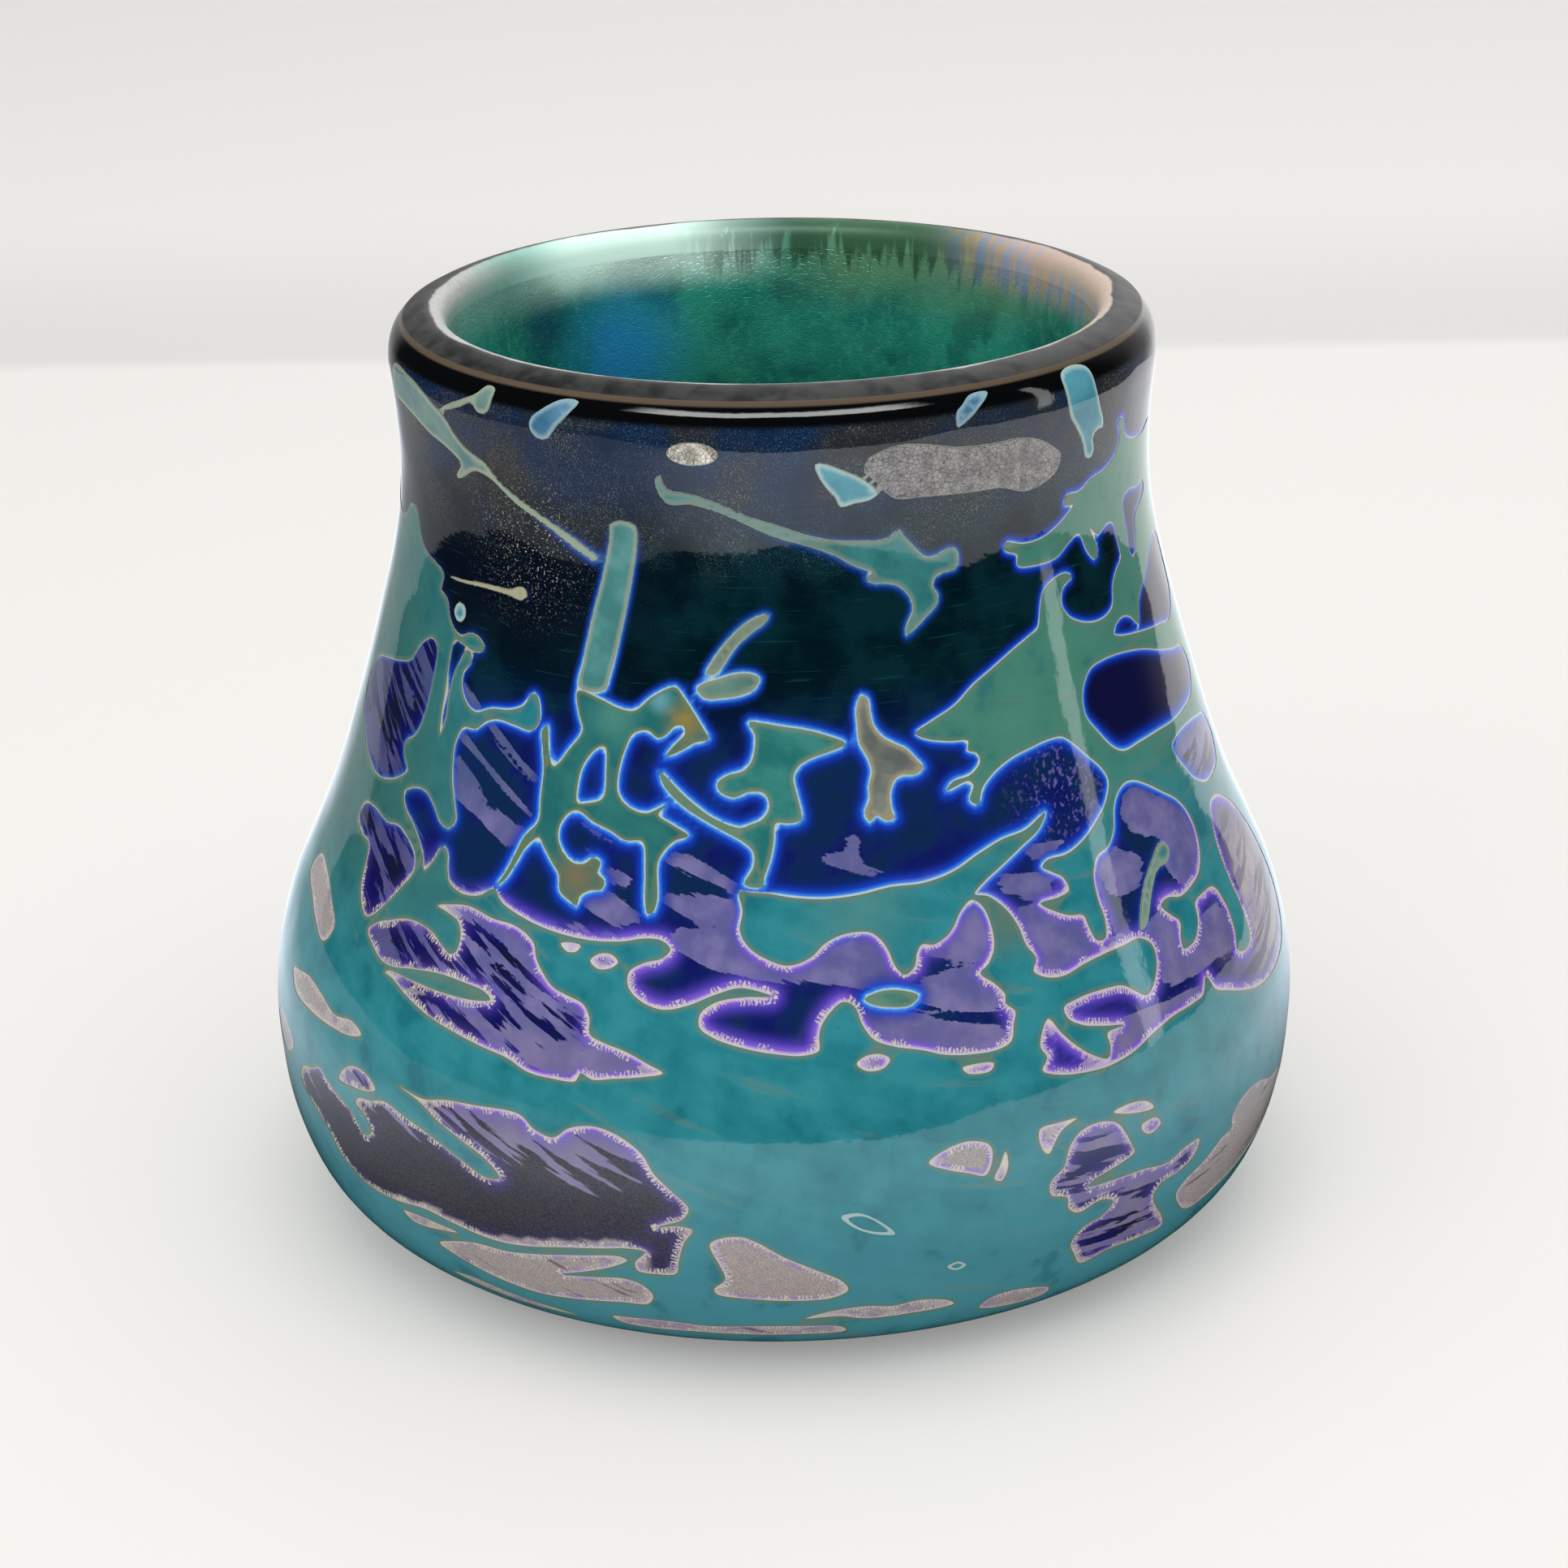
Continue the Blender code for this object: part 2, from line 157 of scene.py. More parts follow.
hollow = [
    (0.0, 14.0), (22.0, 14.1), (36.0, 15.2), (45.0, 18.0), (50.8, 22.6), (53.8, 27.6), (54.5, 33.0), (53.0, 39.0),
    (50.6, 45.0), (47.9, 51.0), (45.6, 57.0), (43.6, 63.0), (41.7, 69.0), (40.0, 75.0), (38.4, 81.0), (37.1, 87.0),
    (36.7, 93.0), (36.9, 99.0), (37.2, 103.0), (37.5, 105.6), (37.7, 107.15),
]


def curved(points, share, closed=False):  # a centripetal curve through the points, cut into short steps
    pts = np.array(points, float)
    n = len(pts)
    full = np.vstack([pts[-1], pts, pts[:2]]) if closed else np.vstack([2 * pts[0] - pts[1], pts, 2 * pts[-1] - pts[-2]])
    made = []
    for i in range(n if closed else n - 1):
        p = full[i:i + 4]
        t = np.concatenate([[0], np.cumsum(np.sqrt(np.hypot(*np.diff(p, axis=0).T)) + 1e-6)])
        count = max(1, int(round(np.hypot(*(p[2] - p[1])) / share)))
        for k in range(count):
            s = t[1] + (t[2] - t[1]) * k / count
            a = [((t[j + 1] - s) * p[j] + (s - t[j]) * p[j + 1]) / (t[j + 1] - t[j]) for j in range(3)]
            b = [((t[j + 2] - s) * a[j] + (s - t[j]) * a[j + 1]) / (t[j + 2] - t[j]) for j in range(2)]
            made.append(((t[2] - s) * b[0] + (s - t[1]) * b[1]) / (t[2] - t[1]))
    if not closed:
        made.append(pts[-1])
    return np.array(made)


wall = curved(outside, 0.3)
wallSlope = np.gradient(wall[:, 0], wall[:, 1])


def onWall(degrees, height, lift):  # points on the outside, and which way it faces there
    a = np.radians(degrees)
    r, slope = np.interp(height, wall[:, 1], wall[:, 0]), np.interp(height, wall[:, 1], wallSlope)
    size = np.sqrt(1 + slope ** 2)
    facing = np.stack([np.sin(a) / size, -np.cos(a) / size, -slope / size], -1)
    spot = np.stack([r * np.sin(a), -r * np.cos(a), height + 0 * a], -1)
    return (spot + facing * lift) * mm, facing


def coords(obj):
    co = np.empty(len(obj.data.vertices) * 3)
    obj.data.vertices.foreach_get("co", co)
    return co.reshape(-1, 3) / mm


def store(obj, name, values):
    made = obj.data.attributes.new(name, "FLOAT", "POINT")
    made.data.foreach_set("value", np.asarray(values, np.float32))


widthPerDegree = 0.95  # mm round the wall for one degree, about the middle of the body


def reach(spots, loops, far=9.0):  # distance in mm to the nearest outline, and the way run along it
    gap, along = np.full(len(spots), far), np.zeros(len(spots))
    flat = spots * (widthPerDegree, 1.0)
    for loop in loops:
        pts = loop * (widthPerDegree, 1.0)
        a, b = pts, np.roll(pts, -1, axis=0)
        run = np.concatenate([[0], np.cumsum(np.hypot(*(b - a).T))])
        for i in range(0, len(a), 24):
            p, q = a[i:i + 24], b[i:i + 24]
            low, high = np.minimum(p.min(0), q.min(0)) - far, np.maximum(p.max(0), q.max(0)) + far
            near = np.flatnonzero(((flat > low) & (flat < high)).all(1))
            if not len(near):
                continue
            d = q - p
            rel = flat[near][:, None] - p
            t = np.clip((rel * d).sum(-1) / np.maximum((d ** 2).sum(-1), 1e-9), 0, 1)
            off = np.hypot(*(rel - t[..., None] * d).transpose(2, 0, 1))
            best = off.argmin(1)
            rows = np.arange(len(near))
            closer = off[rows, best] < gap[near]
            hit = near[closer]
            gap[hit] = off[rows, best][closer]
            along[hit] = run[i + best[closer]] + t[rows, best][closer] * np.hypot(*d[best[closer]].T)
    return gap, along


def within(spots, loop):  # whether each point is inside an outline
    order = np.argsort(spots[:, 1])
    heights = spots[order, 1]
    inside = np.zeros(len(spots), bool)
    for (x1, y1), (x2, y2) in zip(loop, np.roll(loop, -1, axis=0)):
        if y1 == y2:
            continue
        first, last = np.searchsorted(heights, sorted((y1, y2)))
        level = order[first:last]
        at = x1 + (spots[level, 1] - y1) * (x2 - x1) / (y2 - y1)
        inside[level] ^= spots[level, 0] < at
    return inside


def signed(spots, loops, far=9.0):  # distance to the nearest outline, negative inside
    inside = np.zeros(len(spots), bool)
    for loop in loops:
        inside |= within(spots, loop)
    gap, _ = reach(spots, loops, far)
    return np.where(inside, -gap, gap)


def lay(name, outline, holes=(), lift=None, step=None):  # a flat outline, cut in a grid, wrapped on the wall and thickened
    loops = [outline, *holes]
    deselect()
    bpy.ops.curve.primitive_bezier_circle_add()
    obj = bpy.context.object
    obj.name = name
    obj.data.dimensions, obj.data.fill_mode = "2D", "BOTH"
    obj.data.splines.clear()
    for loop in loops:
        line = obj.data.splines.new("POLY")
        line.points.add(len(loop) - 1)
        line.points.foreach_set("co", np.column_stack([loop * 0.01, np.zeros(len(loop)), np.ones(len(loop))]).ravel())
        line.use_cyclic_u = True
    pick(obj)
    bpy.ops.object.convert(target="MESH")
    obj = bpy.context.object
    bpy.ops.object.mode_set(mode="EDIT")
    bpy.ops.mesh.select_all(action="SELECT")
    bpy.ops.mesh.dissolve_limited(angle_limit=0.004)
    low, high = outline.min(0), outline.max(0)
    for axis in (0, 1):
        step = step or form["grid"]
        place = math.ceil(low[axis] / step) * step
        while place < high[axis]:
            bpy.ops.mesh.select_all(action="SELECT")
            spot, normal = [0.0, 0.0, 0.0], [0.0, 0.0, 0.0]
            spot[axis], normal[axis] = place * 0.01, 1.0
            bpy.ops.mesh.bisect(plane_co=spot, plane_no=normal)
            place += step
    bpy.ops.mesh.select_all(action="SELECT")
    bpy.ops.mesh.remove_doubles(threshold=0.00002)
    bpy.ops.object.mode_set(mode="OBJECT")
    spots = coords(obj)[:, :2] * mm * 100
    inner, _ = reach(spots, loops, 6.0)
    wrapped, facing = onWall(spots[:, 0], spots[:, 1], form["lift"] if lift is None else lift)
    obj.data.vertices.foreach_set("co", wrapped.ravel())
    store(obj, "inner", inner)
    bpy.ops.object.mode_set(mode="EDIT")
    bpy.ops.mesh.select_all(action="SELECT")
    bpy.ops.mesh.remove_doubles(threshold=0.000004)
    bpy.ops.object.mode_set(mode="OBJECT")
    face = obj.data.polygons[0]
    if face.normal.dot((face.center[0], face.center[1], 0)) < 0:
        obj.data.flip_normals()
    thick = obj.modifiers.new("thickness", "SOLIDIFY")
    thick.thickness, thick.offset = form["laidDepth"] * mm, -1.0
    pick(obj)
    bpy.ops.object.modifier_apply(modifier="thickness")
    bpy.ops.object.shade_smooth()
    co = coords(obj)
    _, facing = onWall(np.degrees(np.arctan2(co[:, 0], -co[:, 1])), co[:, 2], 0.0)
    obj.data.normals_split_custom_set_from_vertices(facing.tolist())
    return obj


def smooth(points):
    return curved(points, 0.45, closed=True)


def shifted(loop, degrees, height=0.0, flip=False):
    return np.array(loop, float) * ((-1 if flip else 1), 1) + (degrees, height)


# Outlines of the laid glass: degrees round from the front, mm up.
tearLeft = [
    (-75, 88.2), (-72, 90), (-68, 90.2), (-66.3, 88), (-64, 86.5), (-60, 85.8), (-57, 84.9), (-57.4, 83.3), (-55.2, 82.5), (-54, 80.8),
    (-52.6, 79.8), (-50.5, 79.3), (-48.5, 80), (-46.5, 79.8), (-45.1, 78.9), (-47, 78.3), (-49.5, 78.6), (-51.9, 78.6), (-52.2, 76),
    (-51.9, 73), (-51.8, 70.5), (-51.3, 68.2), (-50.6, 70), (-50.8, 73), (-50.4, 75.5), (-49.6, 76.8), (-49, 78), (-47.8, 78),
    (-47.4, 77), (-48.6, 75.8), (-48.6, 74.4), (-47.4, 72.9), (-45, 72), (-42, 72.9), (-38.5, 73.4), (-36.3, 74.3), (-35.4, 75.6),
    (-34.5, 75.6), (-33.7, 74.2), (-33.6, 72.8), (-34.6, 71.8), (-37.5, 71.9), (-40.5, 72), (-42.6, 71.4), (-44.2, 70.3), (-46.8, 69.9),
    (-47.8, 68), (-47.6, 65.8), (-46.9, 63.6), (-45.8, 61.6), (-45.1, 60), (-46, 59), (-47.6, 59.2), (-49.5, 60.6), (-51.6, 61.7),
    (-54.2, 61.6), (-56.6, 60.4), (-55.6, 58.9), (-53.2, 57.7), (-51, 56.2), (-49.6, 54.8), (-48.8, 53.6), (-47.5, 55), (-46.4, 56.8),
    (-45.4, 56.4), (-44.8, 54.8), (-44, 53.5), (-41.5, 52.8), (-38.8, 53.2), (-36.7, 54.3), (-35.3, 53.2), (-32, 52.2), (-28, 51.5),
    (-23, 51.2), (-19, 51.5), (-16, 52.1), (-14, 52), (-13, 51.2), (-13.8, 50.3), (-16, 49.6), (-17.6, 48.6), (-17.6, 47.3), (-16.2, 46),
    (-13.5, 45.2), (-10.8, 45.7), (-7.8, 46.9), (-4.8, 47.7), (-1.4, 46.9), (-4.5, 46.8), (-7.6, 46.2), (-9.2, 45), (-9.2, 43.7),
    (-7.6, 42.7), (-4.5, 41.8), (-1, 41.2), (2, 41), (3.6, 41.5), (3.6, 42.6), (3.9, 43.8), (5, 45.2), (6.4, 46.1), (7.6, 45.6),
    (8.3, 43.8), (9.4, 42.2), (11.5, 41.3), (14.5, 40.6), (17, 39.8), (20, 39.4), (23, 39.4), (24.6, 40), (25.2, 41.6), (25.7, 42.8),
    (24.7, 43.8), (24.9, 44.6), (23.8, 46), (22.4, 47.2), (23.6, 48), (24.7, 49.6), (24.8, 51.6), (24.1, 53.8), (22.8, 54.7),
    (21.2, 53.7), (20, 52.2), (19, 51.4), (17.3, 50.8), (16, 51), (15.2, 50), (14.9, 49), (13.6, 48.2), (12.6, 49.2), (12, 50.8),
    (11.2, 52), (10, 52.8), (7, 52.8), (4.8, 52), (3, 50.6), (0.5, 49.9), (-2, 50.6), (-4, 51.8), (-5, 53.4), (-4.7, 55.4),
    (-5.1, 57.4), (-3.6, 57.3), (-1.6, 57.2),
]
tearRight = [
    (1, 56.8), (5, 56.5), (9, 56.7), (13, 57.2), (17, 57.2), (21, 57.9), (24.5, 59.2), (28, 60.2), (31.5, 60.6), (34.9, 61.8),
    (33.6, 60.4), (30.5, 59), (27.5, 57.6), (24.8, 56.3), (23.3, 55.2), (25, 54.7), (27, 53), (28.2, 51), (28.7, 49), (29.6, 47.4),
    (28.9, 46.3), (30.2, 45.4), (32.5, 45), (35.5, 45.5), (38.5, 45.8), (42, 45.9), (44.6, 45.9), (46.2, 44.8), (46.2, 43.2),
    (44.8, 41.2), (43.2, 40.2), (41.8, 41), (40.2, 42.1), (37, 42.5), (33.5, 42.4), (31.6, 41.9), (31.8, 40.8), (33.4, 39.7),
    (36, 38.9), (38.8, 38.2), (36.4, 38), (36.5, 36.6), (36, 35.4), (34, 36.3), (32, 38), (30.6, 39.6), (29.4, 41.3), (28.2, 39.9),
    (27.8, 38.6), (28.4, 37.4), (27.6, 36.2), (29.4, 35.3), (32.5, 34.7), (36, 34.5), (39.5, 35), (42.5, 36), (46, 36.8), (50, 37),
    (52.2, 37.3), (53.4, 38.8), (54.6, 37), (57, 35.9), (60.5, 34.5), (65, 33.2), (70, 32.8), (78, 34), (82, 38), (83, 44), (80, 49),
    (76, 52), (72, 53.6), (69, 53.5), (67.8, 52), (66.6, 49.5), (66.1, 46), (66.2, 42), (65.6, 39), (63.5, 38.2), (61.5, 39),
    (62.4, 41), (62.7, 44), (61.5, 46.3), (58.5, 46.6), (56.2, 46.2), (55.6, 44.6), (53.8, 43), (51.2, 42.8), (51.4, 44), (52.2, 45.4),
    (51, 46.6), (49.9, 47.9), (51.5, 48.3), (54, 47.7), (57, 48), (59.8, 48.8), (61.6, 50.4), (62.4, 52.6), (61.8, 55), (60, 57),
    (57, 58.8), (54, 60.5), (51.5, 61.6), (49.4, 61.8), (47.4, 61), (46.2, 59.6), (45.5, 57.8), (43.8, 56.2), (41.6, 55.6), (40.4, 54),
    (40.1, 51.5), (40.3, 49), (39.6, 47.3), (38.3, 47.4), (37.7, 49), (37.4, 50.2), (35.4, 50.7), (33.4, 51.6), (31.8, 52.7),
    (34.5, 52.8), (36.2, 53.2), (35.8, 54.6), (34.4, 55.5), (33, 56.4), (34, 56.9), (37, 56.9), (40, 57.7), (42.8, 59.1), (45.2, 60.7),
    (46.6, 62.8), (45.8, 64.4), (43.8, 66.2), (42, 67.8), (40, 69.1), (37.5, 69.3), (34.5, 69), (31, 68.4), (28, 67.2), (26.2, 65.8),
    (25.5, 64.4), (24.4, 65), (25.2, 66.4), (24.6, 67), (21.4, 66.4), (22.4, 67.2), (25, 67.6), (26.6, 68.8), (26.3, 69.7), (25, 70.2),
    (25.3, 71.1), (22.5, 71.5), (19.4, 72.1), (18, 72.8), (20.4, 73.8), (24, 75.1), (27, 76.8), (30, 78), (34, 79.5), (37.5, 80.6),
    (39.2, 81.2), (40, 83), (41, 84.8), (43.4, 85.8), (46, 86), (47.2, 85.4), (45, 84.6), (44.2, 83), (45.2, 81.4), (47.4, 80.3),
    (50.4, 79.6), (53.6, 79.6), (56, 80.4), (57, 82.4), (58.8, 83.8), (60.8, 84.8), (60.4, 87), (59.6, 89), (57.6, 89.5), (54.6, 88.8),
    (52.6, 89.9), (54.2, 87), (53.4, 86.2), (51.6, 87.4), (49.8, 89.8), (47, 89.2), (44.6, 88.2), (40.5, 88), (36.6, 88.6),
    (36.8, 89.6), (34.4, 90.6), (34.6, 91.3), (38, 90.7), (42, 90.8), (45.6, 91.8), (48.6, 93.3), (46.4, 93.7), (46.8, 94.6),
    (50, 94.6), (53, 95.5), (57, 95.9), (60.4, 97.3), (61.2, 99.3), (60, 100.8), (61.6, 100.9), (63, 98.8), (67, 97.4), (72, 97),
    (78, 97.6),
]
tearBackLeft = [
    (-180, 66), (-172, 70), (-166, 78), (-160, 80), (-156, 74), (-150, 64), (-143, 60), (-136, 66), (-131, 78), (-126, 84),
    (-120, 82), (-116, 74), (-112, 70), (-106, 74), (-101, 84), (-96, 90), (-90, 91), (-84, 88.5),
]
tearBackRight = [
    (84, 96), (90, 93), (95, 88), (100, 80), (106, 74), (112, 76), (118, 86), (124, 90), (130, 86), (135, 76), (141, 68),
    (148, 66), (154, 72), (160, 80), (166, 82), (171, 74), (176, 68),
]
paneLong = [
    (-45, 50.7), (-43, 51.3), (-40, 51.8), (-36, 51.3), (-33, 51.2), (-31, 50.6), (-29.8, 49.8), (-29.2, 48.5), (-28, 47.2),
    (-26.5, 46), (-24.5, 45.4), (-22.5, 44.8), (-21.5, 43.5), (-21.3, 42), (-19.5, 41.3), (-17, 40.7), (-14.5, 39.7), (-12.8, 38.9),
    (-15, 38.3), (-18, 37.8), (-20.5, 37.4), (-21.8, 37.9), (-22.2, 37), (-25, 36.8), (-28, 37), (-30.5, 37.9), (-34, 38.4), (-38, 39),
    (-42, 39.7), (-46, 40.8), (-49, 41.8), (-50.5, 42), (-49.8, 42.4), (-46, 42.5), (-41, 42.5), (-36, 42.8), (-34, 43.3), (-35, 43.9),
    (-38, 44.2), (-42, 44.2), (-46, 43.6), (-49.5, 42.9), (-51.5, 42.9), (-54, 43.8), (-56, 45), (-54.5, 46.3), (-52, 47.3), (-50, 48),
    (-47.5, 48.3), (-44.5, 47.9), (-42.5, 47), (-41, 46.5), (-40.3, 47), (-40.2, 48.5), (-41, 49.8), (-43, 50.4),
]
paneBroad = [
    (-44.8, 30.9), (-41, 30.6), (-38, 31.4), (-34, 31.9), (-28.4, 32.2), (-26.6, 30.9), (-24.4, 30.4), (-22.6, 31.8), (-20, 32.4),
    (-17.4, 31.8), (-14.8, 30), (-13.5, 27.8), (-11.6, 25.8), (-10, 23.9), (-10.8, 22.4), (-13.2, 21.3), (-11, 21.6), (-9.7, 21.2),
    (-10.6, 19.6), (-11.3, 17), (-11.7, 15.2), (-13.6, 14.9), (-15.8, 15.1), (-16, 16.2), (-14.8, 17.8), (-16.6, 18), (-19, 17.6),
    (-24, 16.7), (-29, 15.6), (-33, 15.3), (-38, 15.8), (-42, 16.2), (-47, 15.4), (-52, 15.2), (-57, 17), (-60, 19.5), (-64, 21),
    (-67, 22.6), (-66, 24.6), (-62.5, 26), (-60.5, 27), (-58.6, 26.2), (-56, 25.4), (-53, 24.2), (-51, 22.4), (-49.6, 23.4),
    (-50.6, 25), (-52.4, 26), (-51.8, 26.8), (-49.4, 27.4), (-47, 28.2), (-44, 27.6), (-40, 26.6), (-36, 25), (-32.6, 23.6),
    (-30.8, 24), (-32.4, 25.8), (-35.6, 27.3), (-39, 28.7), (-41.4, 30),
]
paneStreaked = [
    (-66.5, 56.4), (-63, 56.9), (-59, 56.4), (-56, 56.8), (-53.2, 56), (-51.2, 54.8), (-50.6, 53), (-52.2, 50.8), (-54, 48.6),
    (-55.6, 46.9), (-57.2, 46.1), (-59.2, 47), (-60.8, 48.8), (-61.4, 51), (-62, 52.8), (-64.8, 53.2), (-67.4, 54.4),
]
paneHeart = [
    (-8, 19.5), (-7, 20.3), (-4.8, 20.6), (-3, 19.8), (-0.5, 18), (3, 16), (5.4, 14.4), (6.1, 13), (4.6, 12), (1, 11.7), (-4, 12),
    (-7.6, 12.6), (-7.8, 13.4), (-6.6, 14.8), (-7, 16.5),
]
paneChain = [
    (30.2, 27), (31.6, 28.3), (34, 28.6), (36.2, 27.8), (37.4, 26.2), (38.4, 24.2), (38.8, 23.2), (36.6, 22.4), (33.4, 21.6),
    (32.6, 21), (36, 20.7), (40, 20.5), (44, 19.8), (47, 20.6), (49.6, 20.5), (48.8, 18.6), (46.4, 17.7), (43.4, 17.3), (42.4, 16),
    (43.4, 14), (45, 12), (45.8, 10.2), (42, 10.2), (37, 10.6), (33.4, 10), (32, 12), (31.2, 13.8), (32.4, 15.6), (35, 16.4),
    (36.2, 17.8), (34.4, 18.6), (31.6, 17.9), (30.2, 19), (30, 20.4), (28, 21.3), (27.8, 23), (29.4, 24.6), (29.8, 26),
]
paneSide = [
    (-57.4, 77.8), (-55.6, 77), (-55.2, 74.5), (-55.3, 71), (-55.8, 68.6), (-56.8, 66.8), (-59, 65.4), (-58.4, 64), (-56.8, 62.8),
    (-58.4, 61.6), (-61, 60.6), (-65, 60), (-69.5, 61), (-74, 62.8), (-78, 65), (-79, 68), (-76, 71), (-71, 72.3), (-66, 73.2),
    (-62, 74.4), (-60.6, 76.2),
]
paneBoat = [
    (-41.2, 11.6), (-38.5, 13), (-35, 14.0), (-31, 14.2), (-27, 15.0), (-22, 16.1), (-17.6, 16.8), (-16.8, 16.4), (-18.5, 15.2),
    (-21.5, 13.9), (-24.6, 12.7), (-21, 13.2), (-17.5, 13.7), (-15.4, 13), (-14.5, 11.6), (-15.2, 10.2), (-18, 9.9), (-22, 9.3),
    (-28, 8.6), (-33, 9.1), (-37.5, 10.2),
]
paneOval = [
    (45.2, 73), (47.5, 75), (50.5, 75.4), (54, 75.3), (58, 74.8), (62, 74), (67, 72.6), (72, 71.4), (78, 70), (80, 67.5), (76, 65),
    (70, 64.6), (65, 64.6), (60, 64.9), (55, 65), (51, 65), (49, 65.8), (46.5, 68.2), (44.8, 70.5),
]
paneUpper = [
    (54.6, 77.4), (55.5, 78.2), (57.8, 78.7), (60, 78.2), (62.2, 76.8), (62.8, 77.6), (64, 79.2), (67, 80.6), (73, 83), (78, 84),
    (82, 82), (82, 77), (75, 74.2), (70, 74.8), (62, 75.9), (55.8, 76.9),
]
paneLilac = [
    (62.6, 62.4), (64.5, 63), (68, 63.2), (75, 62.4), (80, 61), (82, 58), (79, 55.8), (74, 55.4), (70, 55.8), (66.5, 57.4),
    (64.4, 59.4), (63, 61),
]
paneTip = [
    (46.6, 14.6), (47.8, 15.8), (51, 16.9), (54.4, 18.4), (56.6, 18.8), (56.4, 20), (57.6, 21.4), (60.6, 22), (64, 21.4), (68, 19.8),
    (72, 19), (76, 18), (78, 15), (72, 12.6), (64, 11.2), (56, 10.4), (50.6, 10.4), (48.2, 12),
]
smallPanes = [
    [(-26.4, 50.4), (-25, 50.7), (-23.8, 50.5), (-24.2, 49.9), (-25.4, 49.7)],
    [(-22.4, 49.2), (-21.4, 50), (-19.9, 50.1), (-19, 49.4), (-19.9, 48.7), (-21.4, 48.5)],
    [(7.4, 39.9), (8.4, 40.6), (10, 40.7), (11, 40.1), (10.2, 39.2), (8.4, 39.1)],
    [(18.6, 38.2), (20, 38.4), (22.2, 38.1), (21.8, 37.4), (19.2, 37.5)],
    [(-55.8, 27.6), (-54.6, 29.4), (-52.6, 30.4), (-50, 30.2), (-48.6, 29.1), (-50, 28.3), (-52.6, 27.8)],
    [(14.3, 28.4), (16, 29.6), (18.6, 30.2), (20.8, 29.4), (21.2, 28.2), (20.4, 25.8), (18.6, 26.4), (16.4, 27.2)],
    [(22.6, 28.2), (22.9, 26.4), (22.1, 24.7), (21.3, 25.2), (21.9, 26.6)],
    [(26.6, 29.8), (29, 30), (31.2, 29.9), (29.4, 29.1), (28.4, 27.9), (27.6, 26.6), (26.8, 27.4)],
    [(35.8, 29.2), (38, 29.5), (40.6, 28.9), (41.6, 27.8), (39.6, 27.9), (37, 28.6)],
    [(39.6, 26.3), (41.8, 26.5), (42.6, 25.4), (41.2, 24.7), (40, 25.3)],
    [(1.6, 8.8), (4, 9.8), (8, 10.3), (11, 9.9), (14, 10.3), (17.2, 9.5), (18, 8.7), (13, 8.2), (8, 8.2), (5.4, 8.9)],
    [(-20, 7), (-17, 7.4), (-13, 7.5), (-9, 7.2), (-4, 7.5), (1, 7.5), (5.6, 7), (6.2, 6), (0, 5.6), (-10, 5.7), (-19, 5.9)],
    [(-41.5, 6.9), (-38, 7.5), (-33, 6.8), (-27, 6.1), (-24.6, 5.6), (-32, 5.5), (-38, 6.1)],
    [(21.4, 7), (22.4, 8.4), (25, 8.8), (28, 8.2), (30.2, 7.2), (30.2, 6.1), (24, 6)],
    [(-66, 36), (-62, 35.6), (-58, 34.6), (-54, 35.2), (-52, 34.4), (-54, 33.5), (-59, 32.9), (-64, 32.6), (-70, 32.8), (-72, 34.5), (-69, 35.4)],
    [(-76, 47), (-70, 46.4), (-66, 44.6), (-63.4, 43), (-63.8, 41.4), (-65.2, 40.6), (-69, 41.6), (-73, 43), (-78, 44.5)],
    [(-76, 27.6), (-70.6, 27), (-69.4, 25.8), (-72, 23.8), (-76, 23.2), (-80, 24.5)],
    [
        (63.2, 91), (65.5, 91.7), (69.5, 91.3), (74, 91), (74.5, 90), (71, 88.9),
        (68, 88), (67.3, 86), (66.2, 84.2), (64.9, 83.9), (64, 84.8), (63.9, 87),
    ],
    [(-46, 14.3), (-44, 14.7), (-40, 14.8), (-37.5, 14.6), (-39.5, 14.1), (-43, 13.4), (-45, 13.4)],
]
panes = [paneLong, paneBroad, paneStreaked, paneHeart, paneChain, paneSide, paneBoat, paneOval, paneUpper, paneLilac, paneTip, *smallPanes,
         shifted(paneLong, 182), shifted(paneBroad, 182), shifted(paneChain, -190), shifted(paneHeart, 100), shifted(paneStreaked, -62)]
paneKinds = {
    "lilacPane": [paneLong, paneStreaked, paneChain, paneSide, paneLilac, *smallPanes[:2], *smallPanes[4:5], *smallPanes[8:10], shifted(paneLong, 182),
                  shifted(paneChain, -190), shifted(paneStreaked, -62)],
    "nightPane": [paneOval, paneUpper, smallPanes[17]],
    "beigePane": [paneHeart, paneBoat, paneTip, *smallPanes[2:4], *smallPanes[5:8], *smallPanes[10:17], smallPanes[18], shifted(paneHeart, 100)],
    "smokePane": [paneBroad, shifted(paneBroad, 182)],
}
barLine = [
    (-24, 95.3), (-22.3, 96), (-20, 95.5), (-19.9, 94.5), (-20.8, 90), (-22.2, 84), (-23.5, 79), (-24.1, 77.4), (-28, 77.4),
    (-27.6, 80), (-26.6, 85), (-25, 90), (-23.9, 94.5),
]
